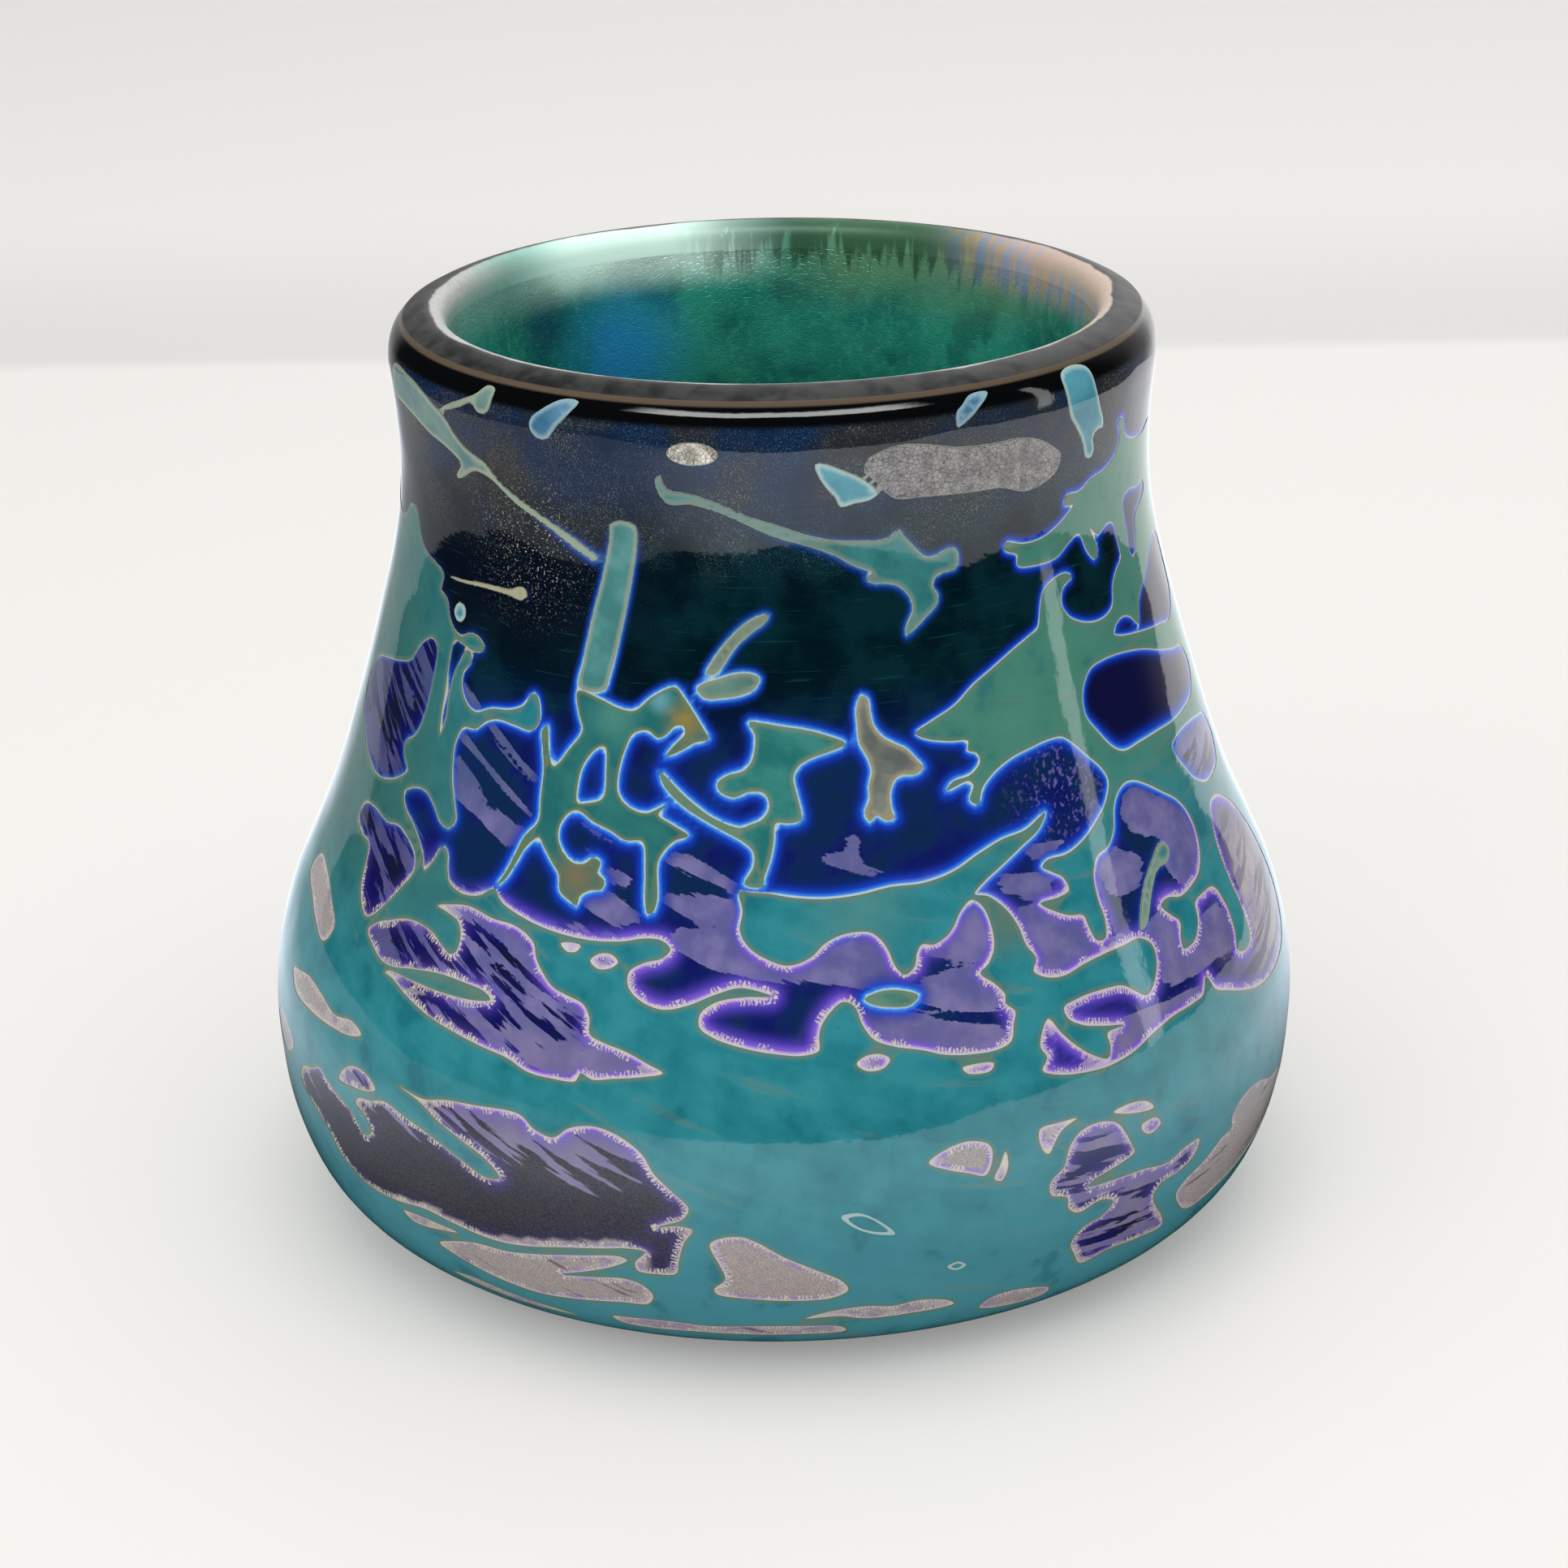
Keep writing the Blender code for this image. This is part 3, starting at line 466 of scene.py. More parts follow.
cometLine = [
    (-16, 101.6), (-15.6, 100.5), (-14.9, 99.9), (-12, 99.6), (-8, 98.6), (-4, 97.2), (0, 96.2), (4, 95), (8, 94.2), (12, 93.9),
    (15, 93.8), (16.5, 94.2), (17.6, 95), (18, 94.2), (19.5, 92.8), (21, 91.5), (22.5, 91.2), (24, 91.6), (25, 91.9), (26, 91.8),
    (26.5, 90.8), (26.2, 89.8), (24.5, 89.6), (22.8, 89.2), (22.2, 88.2), (23, 87), (22.8, 86.2), (21, 85), (19, 83.8), (18, 83.3),
    (18.2, 84.2), (19.3, 85.8), (19, 87.2), (17.5, 88.6), (15.5, 89.2), (13.6, 89.3), (12.6, 89.8), (13.6, 90.4), (11, 91.4),
    (8, 92.8), (4, 94), (0, 95), (-4, 96.4), (-8, 97.8), (-12, 98.6), (-15, 98.5), (-16.5, 100), (-16.7, 101.2),
]
petalLine = [
    (5.5, 103), (6.5, 103), (9, 102.2), (12, 101), (13.5, 100), (14.2, 99.2),
    (13, 98.6), (11, 98.4), (9, 98.1), (8.5, 99), (7.2, 100.2), (6.2, 101.4),
]
heronLine = [
    (-28.1, 76.8), (-24.3, 76.3), (-22, 75.7), (-19.5, 75.6), (-17, 77.3), (-14, 78.4), (-13, 77.6), (-11.5, 76), (-10, 74.2),
    (-9.3, 73.2), (-11, 72.8), (-13, 71.8), (-14.8, 71.2), (-13.5, 72.6), (-12.4, 73.6), (-12.6, 74.4), (-13.8, 74.4), (-15, 73.4),
    (-16, 73), (-17.5, 73.7), (-19.5, 73.2), (-20.5, 71.5), (-21.2, 68.5), (-21, 66.8), (-19.5, 65.5), (-17, 65), (-14.6, 66),
    (-15.5, 65), (-13.5, 64), (-11.5, 63), (-13, 62.5), (-14.2, 61.6), (-15.2, 60), (-15, 56), (-15.5, 54.7), (-16, 54.6),
    (-16.4, 56), (-16.6, 59), (-17.2, 62), (-19.5, 62), (-21.5, 62.8), (-24, 63.5), (-26.2, 64.4), (-27.5, 64), (-28.6, 62.5),
    (-28.6, 61), (-27.5, 59.6), (-26, 58.8), (-24.5, 59), (-23.5, 59.7), (-22.5, 59.3), (-22.8, 58.2), (-21.8, 57.5), (-22, 56.6),
    (-23.5, 56.3), (-24.8, 55.5), (-25, 54.5), (-25.8, 54.8), (-27.5, 55.8), (-27.8, 57.3), (-29, 58.5), (-30.5, 60), (-31.3, 60.8),
    (-33, 59.6), (-34.2, 57.6), (-35.4, 55.6), (-36.4, 54.8), (-35.4, 56.4), (-34.4, 58.6), (-33.5, 60.5), (-31.7, 62.5),
    (-31.8, 65), (-31.9, 68), (-32.4, 70), (-32.9, 72), (-32.2, 72.6), (-31.8, 71), (-31.2, 69.2), (-30.6, 68.5), (-29.7, 69),
    (-28.5, 70.5), (-27, 72.2), (-26.7, 73), (-27.5, 74.5),
]
heronEye = [(-23.2, 71.4), (-22.8, 69), (-22.7, 67), (-23, 66), (-25, 65.3), (-26.5, 65.2), (-26.7, 67), (-26.3, 69), (-25, 70.8), (-24.1, 71.4)]
tickLine = [
    (-9.8, 80), (-8.8, 81.5), (-7, 83.4), (-5, 85), (-3, 86), (-1.3, 86.3),
    (-1.5, 85.8), (-3.2, 84.8), (-5.5, 83.3), (-7, 81.7), (-8.2, 80.3), (-9.2, 79.9),
]
leafLine = [(-11, 78.4), (-10, 79), (-8, 79.5), (-6, 80), (-4, 80.1), (-2.6, 79.6), (-3.2, 78.6), (-5, 77.9), (-7, 77.6), (-10, 77.5)]
birdLine = [
    (-4, 75), (-2, 74.9), (0, 74.6), (3, 74.2), (6, 73.5), (8.5, 72.5), (6.5, 71.8), (4, 71.2), (2.2, 70.3), (1.6, 69.2), (2, 67.5),
    (2.5, 65.5), (2.5, 64.8), (1, 64.5), (-0.7, 64.5), (-1, 62.5), (-1.5, 60.5), (-2.2, 58.8), (-2.3, 58), (-4.5, 58.2), (-3.4, 60),
    (-3.4, 61.5), (-4.5, 62.5), (-5.5, 63), (-9, 64.5), (-12.5, 66.2), (-15, 68.2), (-15.5, 69.4), (-12, 67), (-8.5, 65), (-5, 64),
    (-4, 64.3), (-2.2, 65), (-1.4, 66.3), (-2, 67.6), (-4, 67.8), (-6, 67.2), (-7.8, 67.9), (-8, 68.6), (-6.8, 69.4), (-4.6, 70),
    (-3.6, 71), (-3.2, 72.5), (-3.2, 73.8),
]
figureLine = [
    (11, 77.3), (11.8, 77), (12, 75.5), (12.4, 74), (13.5, 72.8), (15, 72), (16.5, 71.3), (18, 69.8), (18.6, 69.2), (17.5, 68.6),
    (15.5, 68.7), (14.5, 68.2), (13.8, 66.8), (13.9, 65), (14.2, 64.3), (13, 64.2), (12, 64.8), (11, 64.2), (10.5, 65.2),
    (11.2, 66.4), (11.3, 68), (11.8, 69.3), (11.4, 70.8), (10.4, 72.5), (10.3, 74.5), (10.3, 76),
]
lipTrailLine = [
    (-75, 105.9), (-66, 106.3), (-62, 105.8), (-57, 104.5), (-54.8, 103.8), (-53, 102.5), (-50, 100.8), (-46, 99.8), (-43, 98),
    (-40, 96.8), (-35, 95.1), (-30, 93.3), (-27, 92), (-26, 91.5), (-26.5, 91.2), (-28, 91.7), (-31, 92.9), (-35, 94.5), (-40, 96.1),
    (-45, 98.3), (-48, 98.7), (-49, 98.5), (-52.8, 97), (-53, 97.3), (-51.5, 98.8), (-55, 100.2), (-60, 101), (-65, 102),
    (-70, 102.5), (-75, 103),
]
lipThreadLine = [
    (-55.4, 104.5), (-53, 105), (-50, 105.8), (-47.6, 106.6), (-46.4, 105.8), (-45.2, 105.7), (-44.2, 106),
    (-43.5, 107.4), (-43.4, 108.4), (-45, 108.6), (-46.8, 107.6), (-50, 106.4), (-53, 105.5),
]
streakLine = [
    (-55, 85.1), (-50, 85.3), (-45, 85.5), (-41, 85.5), (-39, 85.3), (-38, 86),
    (-38.7, 86.6), (-40, 86.5), (-41, 86.1), (-45, 85.9), (-50, 85.6),
]
dropLeftLine = [(-36, 106), (-35.8, 105), (-34.5, 104.3), (-33, 104.5), (-31.5, 106), (-29.5, 107.5), (-28.4, 108.6), (-31.4, 108.6)]
dropRightLine = [
    (45.5, 108.5), (45.8, 106), (46.5, 104), (48, 102.5), (49.5, 101), (50.5, 99.5), (51, 98.5), (52.5, 98.2), (53, 99), (52.5, 100.3),
    (53.3, 101.2), (55, 101.2), (54.8, 102.2), (53.5, 104), (52.5, 106), (51.5, 108.5),
]
dropSmallLine = [(26, 105.6), (27, 106), (29, 107), (31.5, 108.6), (28.4, 108.6), (27, 107.8), (26, 107.2)]
bubbleLine = [(5.3, 23.0), (7, 23.3), (9, 22.2), (10.8, 20.2), (8.6, 20.5), (6.6, 21.5)]
smallBubbleLine = [(16.5, 14.8), (17.6, 15.3), (18.6, 14.6), (17.6, 14.1)]
leafPatchLine = [
    (12.4, 102.8), (15, 104), (18, 104.4), (22, 104), (26, 103.3), (32, 103), (36, 103), (40, 102.3), (43, 101), (45, 99.7),
    (44.5, 98.2), (42, 97.2), (38, 96.8), (34, 97.8), (30, 98), (25, 98.2), (20, 98.4), (17, 98.5), (15, 99.8), (14, 100.8), (12.6, 101.8),
]
seedLine = [(8.8, 46.2), (10.5, 46.8), (12.5, 46.8), (14.8, 46), (13.8, 45.2), (11, 45.3), (9.5, 45.7)]
beadLine = [(-52.9, 81.8), (-52.4, 82.6), (-51.5, 82.8), (-50.6, 82.5), (-50.2, 81.8), (-50.6, 81.1), (-51.5, 80.8), (-52.4, 81.1)]
bulbLine = [
    (45.2, 46.6), (46.4, 48.6), (48.6, 51), (51.6, 53), (53.4, 53.9), (54.8, 53.2),
    (54.6, 52.2), (53.2, 51.7), (51.4, 51.6), (49, 49.7), (46.4, 46.9),
]
# Pale streaks in the dark glass between the tears.
streaks = [
    [(-61, 75.9), (-59, 75.6), (-55, 73.5), (-55.2, 72.8), (-58, 73.6), (-61.5, 75)],
    [(-64, 72), (-62, 72), (-58.5, 70.2), (-60.5, 70), (-63, 70.8)],
    [(-74, 64), (-72, 66), (-70, 65.8), (-66, 64.8), (-61, 61.2), (-60, 60.8), (-63, 60.2), (-68, 61.5), (-73, 63)],
    [(-48.5, 74.5), (-47.5, 74.2), (-44, 72.4), (-45.5, 72.2), (-48, 73.2)],
    [(-42.5, 71.5), (-41, 71.3), (-36, 68.6), (-32.5, 66.6), (-33, 66.2), (-37, 68), (-41, 70)],
    [(-47.8, 69.8), (-44, 68.5), (-38, 65.6), (-33, 63.3), (-32.8, 62.8), (-37, 64.4), (-42, 67), (-47.5, 69)],
    [(-47.5, 66.5), (-44, 65.5), (-40, 63), (-37, 62), (-33, 60.8), (-33.5, 59.2), (-37, 59.3), (-40, 60.5), (-43.5, 61.8), (-46.5, 62.5)],
    [(-27.5, 63.9), (-24, 62.9), (-19, 61.4), (-18.6, 61), (-23, 62.2)],
    [(-28.4, 61.2), (-25, 60.4), (-21.5, 58.8), (-18.3, 57.9), (-18.5, 57.4), (-22, 57.8), (-27, 60)],
    [(-24.8, 55.6), (-22.5, 56.6), (-19, 55.6), (-17, 54), (-18, 53), (-21, 53.4), (-24, 54.5)],
    [(-15.3, 60.8), (-13, 61), (-9, 60.4), (-5.2, 58.4), (-5, 57.4), (-8, 58), (-12, 59.2)],
    [(-14.5, 56.6), (-10, 56.8), (-5.4, 56.8), (-5.1, 53.5), (-8.5, 54), (-12.5, 55.6)],
    [(-43, 50.8), (-40, 51.6), (-35, 51.2), (-31, 50.4), (-29.5, 49), (-28.5, 47.6), (-30, 47.4), (-34, 49), (-38, 50)],
    [(-40, 49.2), (-36, 48), (-31, 46.3), (-26, 45.4), (-23, 44.6), (-21.8, 43.6), (-24, 43.4), (-28, 44.4), (-33, 46.4), (-38, 47.2)],
    [
        (-46, 41.2), (-42, 40.6), (-36, 39.8), (-30, 38.9), (-24, 39.5), (-20, 40.6),
        (-16, 40), (-14, 39), (-18, 38), (-24, 37.2), (-28, 37.3), (-38, 39.3),
    ],
    [(-55.5, 45.2), (-52.5, 46.6), (-51, 45.4), (-48, 43.6), (-51, 43.2), (-54, 44.2)],
    [
        (-13, 52), (-9, 53.5), (-4.8, 53), (-2, 50.3), (3, 50.5), (5, 52), (10, 52.5),
        (11.5, 51), (12, 49), (14, 48), (8, 48.3), (0, 49.3), (-4, 49.6), (-10, 51.2),
    ],
    [(14.8, 46), (18, 47.2), (21, 46.8), (23.5, 45.4), (24.2, 43.8), (20, 44.4), (16, 45.4)],
    [(9, 44.5), (13, 44), (18, 42.5), (23, 41), (24.5, 40.2), (20, 39.8), (15, 41), (11, 41.9)],
    [(17, 51), (19.5, 51.4), (21.5, 53.8), (23.5, 54), (24.4, 52), (24.4, 50), (22.5, 48.6), (19, 49.8)],
    [(28.8, 52), (32, 52), (35, 50.8), (37.5, 49.5), (38.5, 47), (42, 46.4), (38, 46.2), (33, 46.6), (30, 47)],
    [(31, 58.8), (33, 58.6), (36.8, 58.4), (35.5, 57.2), (31.5, 57.4)],
    [(26, 56.5), (29, 56.4), (34, 55), (33, 53.4), (29, 54.5)],
    [(47.5, 58.5), (49.5, 61), (52, 61), (57, 58.4), (61, 55.5), (62, 52.5), (60.5, 49.4), (57, 48.6), (54.5, 51), (53.5, 54.5), (50, 56)],
    [(41, 56), (43.5, 56.2), (46, 55), (48.5, 53.5), (47, 51.8), (42, 52.5)],
    [(45.2, 45.2), (50, 46.6), (52, 45.4), (48, 44.4)],
    [(47, 43.6), (56, 44), (62, 43), (62.2, 40.5), (54, 41), (47, 41.2)],
    [(36.5, 37.5), (42, 38), (52, 37.6), (48, 36.8), (40, 35.6), (37, 36)],
    [(5, 61), (7, 61.3), (9, 63), (9.6, 61), (10, 60), (12, 59), (14, 58), (8, 59.3)],
]

tears = [*tearBackLeft, *tearLeft, *tearRight, *tearBackRight]
tearEdge = curved([*tears, (180, 66)], 0.45)
overlayLoop = np.vstack([tearEdge, [(180, 1.8), (-180, 1.8)]])
paneLoops = [smooth(p) for p in panes]
around = np.vstack([  # run past the join at the back, so that no edge shows there
    tearEdge[tearEdge[:, 0] > 150] - (360, 0), tearEdge[:-1],
    tearEdge[tearEdge[:, 0] < -150] + (360, 0), [(240, -40), (-240, -40)],
])
laid = {
    "barTrail": smooth(barLine), "cometTrail": smooth(cometLine), "petalShard": smooth(petalLine), "heronShard": smooth(heronLine),
    "tickTrail": smooth(tickLine), "leafShard": smooth(leafLine), "birdShard": smooth(birdLine), "figureShard": smooth(figureLine),
    "lipTrail": smooth(lipTrailLine), "lipThread": smooth(lipThreadLine), "streakTrail": smooth(streakLine),
    "lipDropLeft": smooth(dropLeftLine), "lipDropRight": smooth(dropRightLine), "lipDropSmall": smooth(dropSmallLine), "seedShard": smooth(seedLine),
    "beadShard": smooth(beadLine), "bulbTrail": smooth(bulbLine), "barTrailBack": smooth(shifted(barLine, 171)),
    "cometTrailBack": smooth(np.array(cometLine) + (-178, -2)),
}
bubbles = {"longBubble": (smooth(bubbleLine), [smooth(np.array(bubbleLine) * 0.74 + (8.0 * 0.26, 21.8 * 0.26))]),
           "smallBubble": (smooth(smallBubbleLine), [smooth(np.array(smallBubbleLine) * 0.6 + (17.6 * 0.4, 14.7 * 0.4))])}
eyeLoop = smooth(heronEye)
leafOval = np.array([(-11.3 + 3.5 * math.cos(t), 104.2 + 1.2 * math.sin(t)) for t in np.linspace(0, 2 * math.pi, 40, endpoint=False)])
leafPatch = smooth(leafPatchLine)

# Body: clear casing over the dark core, one turned form with its lip.
outer = curved(outside, form["pitch"])
inner = curved(hollow, 1.0)


def offset(line, depth):
    slope = np.gradient(line, axis=0)
    slope /= np.hypot(*slope.T)[:, None]
    return line + np.column_stack([slope[:, 1], -slope[:, 0]]) * depth


under = offset(curved(hollow, 4.0), 0.3)  # body surface that the lining lies on
under[0, 0] = 0.0
footRing = [(0.0, 1.2), (5.0, 1.1), (10.0, 0.9), (14.0, 0.35), (16.0, 0.0), (29.0, 0.0)]
bodySection = [*footRing, *map(tuple, outer), *curved([outside[-1], *crown], 0.35)[1:].tolist(), *map(tuple, under[::-1][1:])]


def spot(degrees, height):  # a place on the wall in millimetres
    return tuple((onWall(np.array([float(degrees)]), np.array([float(height)]), 0.0)[0][0] / mm).tolist())


def lathe(name, section, turns):  # an open section from axis to axis, spun into a closed solid
    deselect()
    bpy.ops.mesh.primitive_circle_add(vertices=len(section), radius=0.01)
    obj = bpy.context.object
    obj.name = obj.data.name = name
    obj.data.vertices.foreach_set("co", (np.array([(0.0, -max(r, 0.0), z) for r, z in section]) * mm).ravel())
    for edge in obj.data.edges:
        edge.select = set(edge.vertices) == {0, len(section) - 1}
    for vertex in obj.data.vertices:
        vertex.select = False
    bpy.ops.object.mode_set(mode="EDIT")
    bpy.ops.mesh.select_mode(type="EDGE")
    bpy.ops.mesh.delete(type="EDGE_FACE")
    bpy.ops.mesh.select_all(action="SELECT")
    bpy.ops.mesh.spin(steps=turns, angle=2 * math.pi, center=(0, 0, 0), axis=(0, 0, 1))
    bpy.ops.mesh.select_all(action="SELECT")
    bpy.ops.mesh.remove_doubles(threshold=0.000005)
    bpy.ops.mesh.normals_make_consistent(inside=False)
    bpy.ops.mesh.select_mode(type="VERT")
    bpy.ops.object.mode_set(mode="OBJECT")
    bpy.ops.object.shade_smooth_by_angle(angle=math.radians(38))
    bpy.ops.object.transform_apply(location=True, rotation=True, scale=True)
    return obj


body = lathe("bodyGlass", bodySection, form["turns"])
co = coords(body)
spots = np.column_stack([np.degrees(np.arctan2(co[:, 0], -co[:, 1])), co[:, 2]])
glassLoops = [around, *paneLoops]
gap, along = reach(spots, glassLoops, 9.0)
covered = within(spots, overlayLoop)
for pane in paneLoops:
    covered &= ~within(spots, pane)
store(body, "edge", np.where(covered, -gap, gap))
store(body, "along", along)
store(body, "edgeLaid", signed(spots, [*laid.values(), leafOval, leafPatch]))
store(body, "edgeEye", signed(spots, [eyeLoop], 3.0))
store(body, "veil", -signed(spots, [smooth(s) for s in streaks], 4.0))
for kind, loops in paneKinds.items():
    store(body, kind, signed(spots, [smooth(loop) for loop in loops], 4.0) < 2.0)
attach(body, "root")
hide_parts("casing", "core")
print("body turned:", len(body.data.polygons), "faces")

lining = lathe("liningGlass", [tuple(p) for p in inner] + [tuple(p) for p in offset(inner, 0.22)[::-1]], 240)
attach(lining, "root")
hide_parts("lining")
print("lining turned")

# Laid glass.
overlay = lay("tealOverlay", overlayLoop, paneLoops, None, form["wideGrid"])
spots = np.column_stack([np.degrees(np.arctan2(coords(overlay)[:, 0], -coords(overlay)[:, 1])), coords(overlay)[:, 2]])
overlay.data.attributes.remove(overlay.data.attributes["inner"])
store(overlay, "inner", reach(spots, glassLoops, 9.0)[0])
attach(overlay, "root")
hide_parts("overlay")
nodeOf = {
    "barTrail": "trail_bar", "cometTrail": "trail_comet", "petalShard": "shard_petal", "heronShard": "shard_heron",
    "tickTrail": "trail_tick", "leafShard": "shard_leaf", "birdShard": "shard_bird", "figureShard": "shard_figure",
    "lipTrail": "trail_lip_left", "streakTrail": "trail_streak", "lipDropLeft": "drop_lip_left", "lipDropRight": "drop_lip_right",
    "barTrailBack": "trail_bar_back", "cometTrailBack": "trail_comet_back",
}
trails = {}
for name, loop in laid.items():
    trails[name] = lay(name, loop, [eyeLoop] if name == "heronShard" else (), 0.08)
    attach(trails[name], "root")
    if name in nodeOf:
        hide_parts(nodeOf[name])
for name, (loop, holes) in bubbles.items():
    trails[name] = lay(name, loop, holes, 0.14)
    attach(trails[name], "root")
silverOval = lay("silverOval", leafOval, (), 0.07)
silverPatch = lay("silverPatch", leafPatch, (), 0.07)
for piece, node in ((silverOval, "silver_oval"), (silverPatch, "silver_patch")):
    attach(piece, "root")
    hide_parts(node)
print("laid glass:", 1 + len(trails) + 2, "pieces")

# Glass finishes.
shine = {
    "roughness": 0.045, "index": 1.5,
    "wobble": 0.35, "wobbleSize": 0.045,         # depth and size of the glass's slow unevenness
    "streakArch": 28.0, "streakTurn": 48.0,      # how far the drawn streaks lean, and from which side
    "paintedHighlightGlow": 0.3,                            # strength of the painted highlight glow inside the lip and on the lining
}


def ripple(glaze, where):  # slow unevenness of blown glass, the same over body and laid glass
    swell = glaze.noise(where, shine["wobbleSize"], 2.0)
    fine = glaze.noise(where, 0.9, 1.0)
    glaze.bump(swell + fine * 0.02, shine["wobble"], 1.2)


def drawn(glaze, x, y, z):  # coordinates that run along the drawn streaks in the glass
    turn = math.radians(shine["streakTurn"])
    r = (x * x + y * y).root()
    v = z + shine["streakArch"] * ((x * math.sin(turn) - y * math.cos(turn)) / r)
    return glaze.join(x * 0.10, y * 0.10, v * 0.9)


def paintedHighlightMask(g, x, y, z):  # where a painted highlight shines white, high on the back left
    return g.rise(z, 102, 107.4) * g.rise(y, 10, 24) * g.rise(x, 4, -8) * g.rise(x, -34, -24)


def lustreAndPaintedSheen(g, where, x, y, z):  # the green inside, with a painted highlight and a painted sheen hanging from the rim at the back
    tone = g.noise(where, 0.07, 4.0)
    green = g.mix(g.rise(tone, 0.36, 0.64), tint(30, 134, 118), tint(54, 170, 146))
    green = g.mix(g.rise(g.noise(where, 0.9, 4.0), 0.48, 0.7) * 0.5, green, tint(84, 184, 160))
    green = g.mix(g.rise(g.noise(where, 0.13, 3.0), 0.54, 0.66) * 0.5, green, tint(20, 92, 92))
    green = g.mix(g.near(where, (-19.0, 31.5, 95.5), 13.0) * g.rise(tone, 0.15, 0.4), green, tint(50, 166, 232))
    green = g.mix(g.near(where, (-28.0, 24.0, 101.0), 7.0) * 0.7, green, tint(24, 66, 110))
    drips = g.noise(g.join(x * 0.8, y * 0.8, z * 0.04), 1.0, 3.0)
    # painted sheen: a paler band high on the back wall, mixed in as yellow-green two lines below
    paintedSheenBand = g.rise(z + (tone - 0.5) * 8.0, 98, 106) * g.rise(y, 8, 24)
    # painted highlight: near-white, high on the back left
    green = g.mix(paintedHighlightMask(g, x, y, z) * 0.95, green, tint(214, 240, 230))
    green = g.mix(paintedSheenBand * g.rise(x, -4, 10) * 0.7, green, tint(120, 164, 120))
    hang = g.rise(z + (drips - 0.5) * 16.0, 105, 108) * g.rise(y, 4, 26) * g.rise(x, -14, -4)
    green = g.mix(hang * 0.8, green, tint(40, 78, 50))
    green = g.mix(g.rise(z, 103, 107) * g.rise(x, 18, 32) * 0.85, green, g.mix(g.rise(drips, 0.4, 0.6), tint(212, 176, 150), tint(160, 176, 216)))
    return g.mix(g.rise(z, 101, 107) * g.rise(x, -22, -36) * 0.7, green, tint(150, 186, 176))


bodyGlaze = Glaze("casedDarkGlass", {"Roughness": shine["roughness"], "IOR": shine["index"], "Emission Strength": shine["paintedHighlightGlow"]})
g = bodyGlaze
where, x, y, z = g.place()
grain = g.noise(drawn(g, x, y, z), 1.0, 4.0, 0.55)
mottle = g.noise(where, 0.16, 4.0)
dust = g.noise(where, 5.5, 2.0)
tooth = g.noise(where, 2.2, 3.0) - 0.5
edge = g.value("edge")
teeth = g.rise((g.value("along") * 15.0 + tooth * 16.0).sine(), -0.4, 0.7) * g.rise(z, 60, 46) * g.rise(g.noise(where, 0.5, 2.0), 0.34, 0.56)
crisp = edge + tooth * 0.22
edgeLaid = g.value("edgeLaid").maths("MAXIMUM", g.value("edgeEye") * -1) + tooth * 0.2
lilac, night, beige, smoke = (g.value(kind) for kind in paneKinds)
navy = g.mix(g.rise(mottle, 0.4, 0.6), tint(14, 24, 92), tint(18, 44, 92))
blackGreen = g.mix(g.rise(mottle, 0.36, 0.62), tint(1, 21, 29), tint(5, 38, 46))
deep = g.mix(g.rise(z, 66, 80), navy, blackGreen)
deep = g.mix(g.rise(x, -6, -26) * g.rise(z, 74, 86), deep, tint(6, 14, 28))
deep = g.mix(g.rise(mottle, 0.46, 0.6) * 0.55 * g.rise(z, 78, 66), deep, tint(8, 34, 60))
deep = g.mix(g.rise(z, 94, 100) * 0.75, deep, g.mix(g.rise(g.noise(where, 0.06, 4.0), 0.42, 0.58), tint(14, 38, 70), tint(42, 42, 46)))
scratch = g.rise(g.noise(g.join(x * 0.14, y * 0.14, z * 5.0), 1.0, 2.0), 0.64, 0.7) * g.rise(z, 70, 78)
deep = g.mix(scratch * 0.5, deep, tint(20, 66, 72))
colour = g.mix(g.rise(dust, 0.70, 0.76) * 0.5, deep, tint(64, 96, 110))
lavender = g.mix(g.rise(g.noise(where, 0.25, 4.0), 0.35, 0.65), tint(92, 92, 146), tint(120, 114, 162))
lavender = g.mix(g.rise(z, 58, 68) * 0.7, lavender, tint(66, 84, 122))
lavender = g.mix(g.rise(z, 46, 34) * 0.6, lavender, tint(130, 120, 144))
lavender = g.mix(g.rise(x, -34, -44) * g.rise(z, 34, 46) * 0.7, lavender, tint(58, 62, 104))
ink = g.mix(g.rise(mottle, 0.4, 0.6), tint(16, 18, 84), tint(20, 24, 52))
streaked = g.mix(g.rise(grain - g.rise(x, -22, -34) * g.rise(z, 40, 50) * 0.06, 0.465, 0.49), ink, lavender)
smoky = g.mix(g.rise(dust, 0.40, 0.62), tint(28, 26, 36), tint(58, 54, 64))
smoky = g.mix(g.rise(grain + (z - 25) * 0.035, 0.60, 0.63), smoky, lavender)
pale = g.mix(g.rise(dust, 0.3, 0.7), tint(142, 132, 136), tint(172, 166, 160))
pale = g.mix(g.rise(grain, 0.36, 0.33) * 0.8, pale, tint(96, 88, 106))
colour = g.mix(lilac, colour, streaked)
colour = g.mix(smoke, colour, smoky)
colour = g.mix(beige, colour, pale)
colour = g.mix(night, colour, tint(14, 16, 58))
slanted = g.mix(g.rise(grain, 0.43, 0.48), tint(58, 56, 90), g.mix(g.rise(mottle, 0.4, 0.6), tint(152, 142, 146), tint(124, 112, 146)))
colour = g.mix(g.near(where, spot(72, 41), 20.0) * (1 - night) * g.rise(edge, 0.0, 0.4), colour, slanted)
veilShare = g.rise(g.value("veil") + (grain - 0.5) * 3.2 + tooth * 0.5 + g.rise(z, 57, 51) * 0.8 * g.rise(x, -16, -10), -0.06, 0.06)
colour = g.mix(veilShare, colour, lavender)
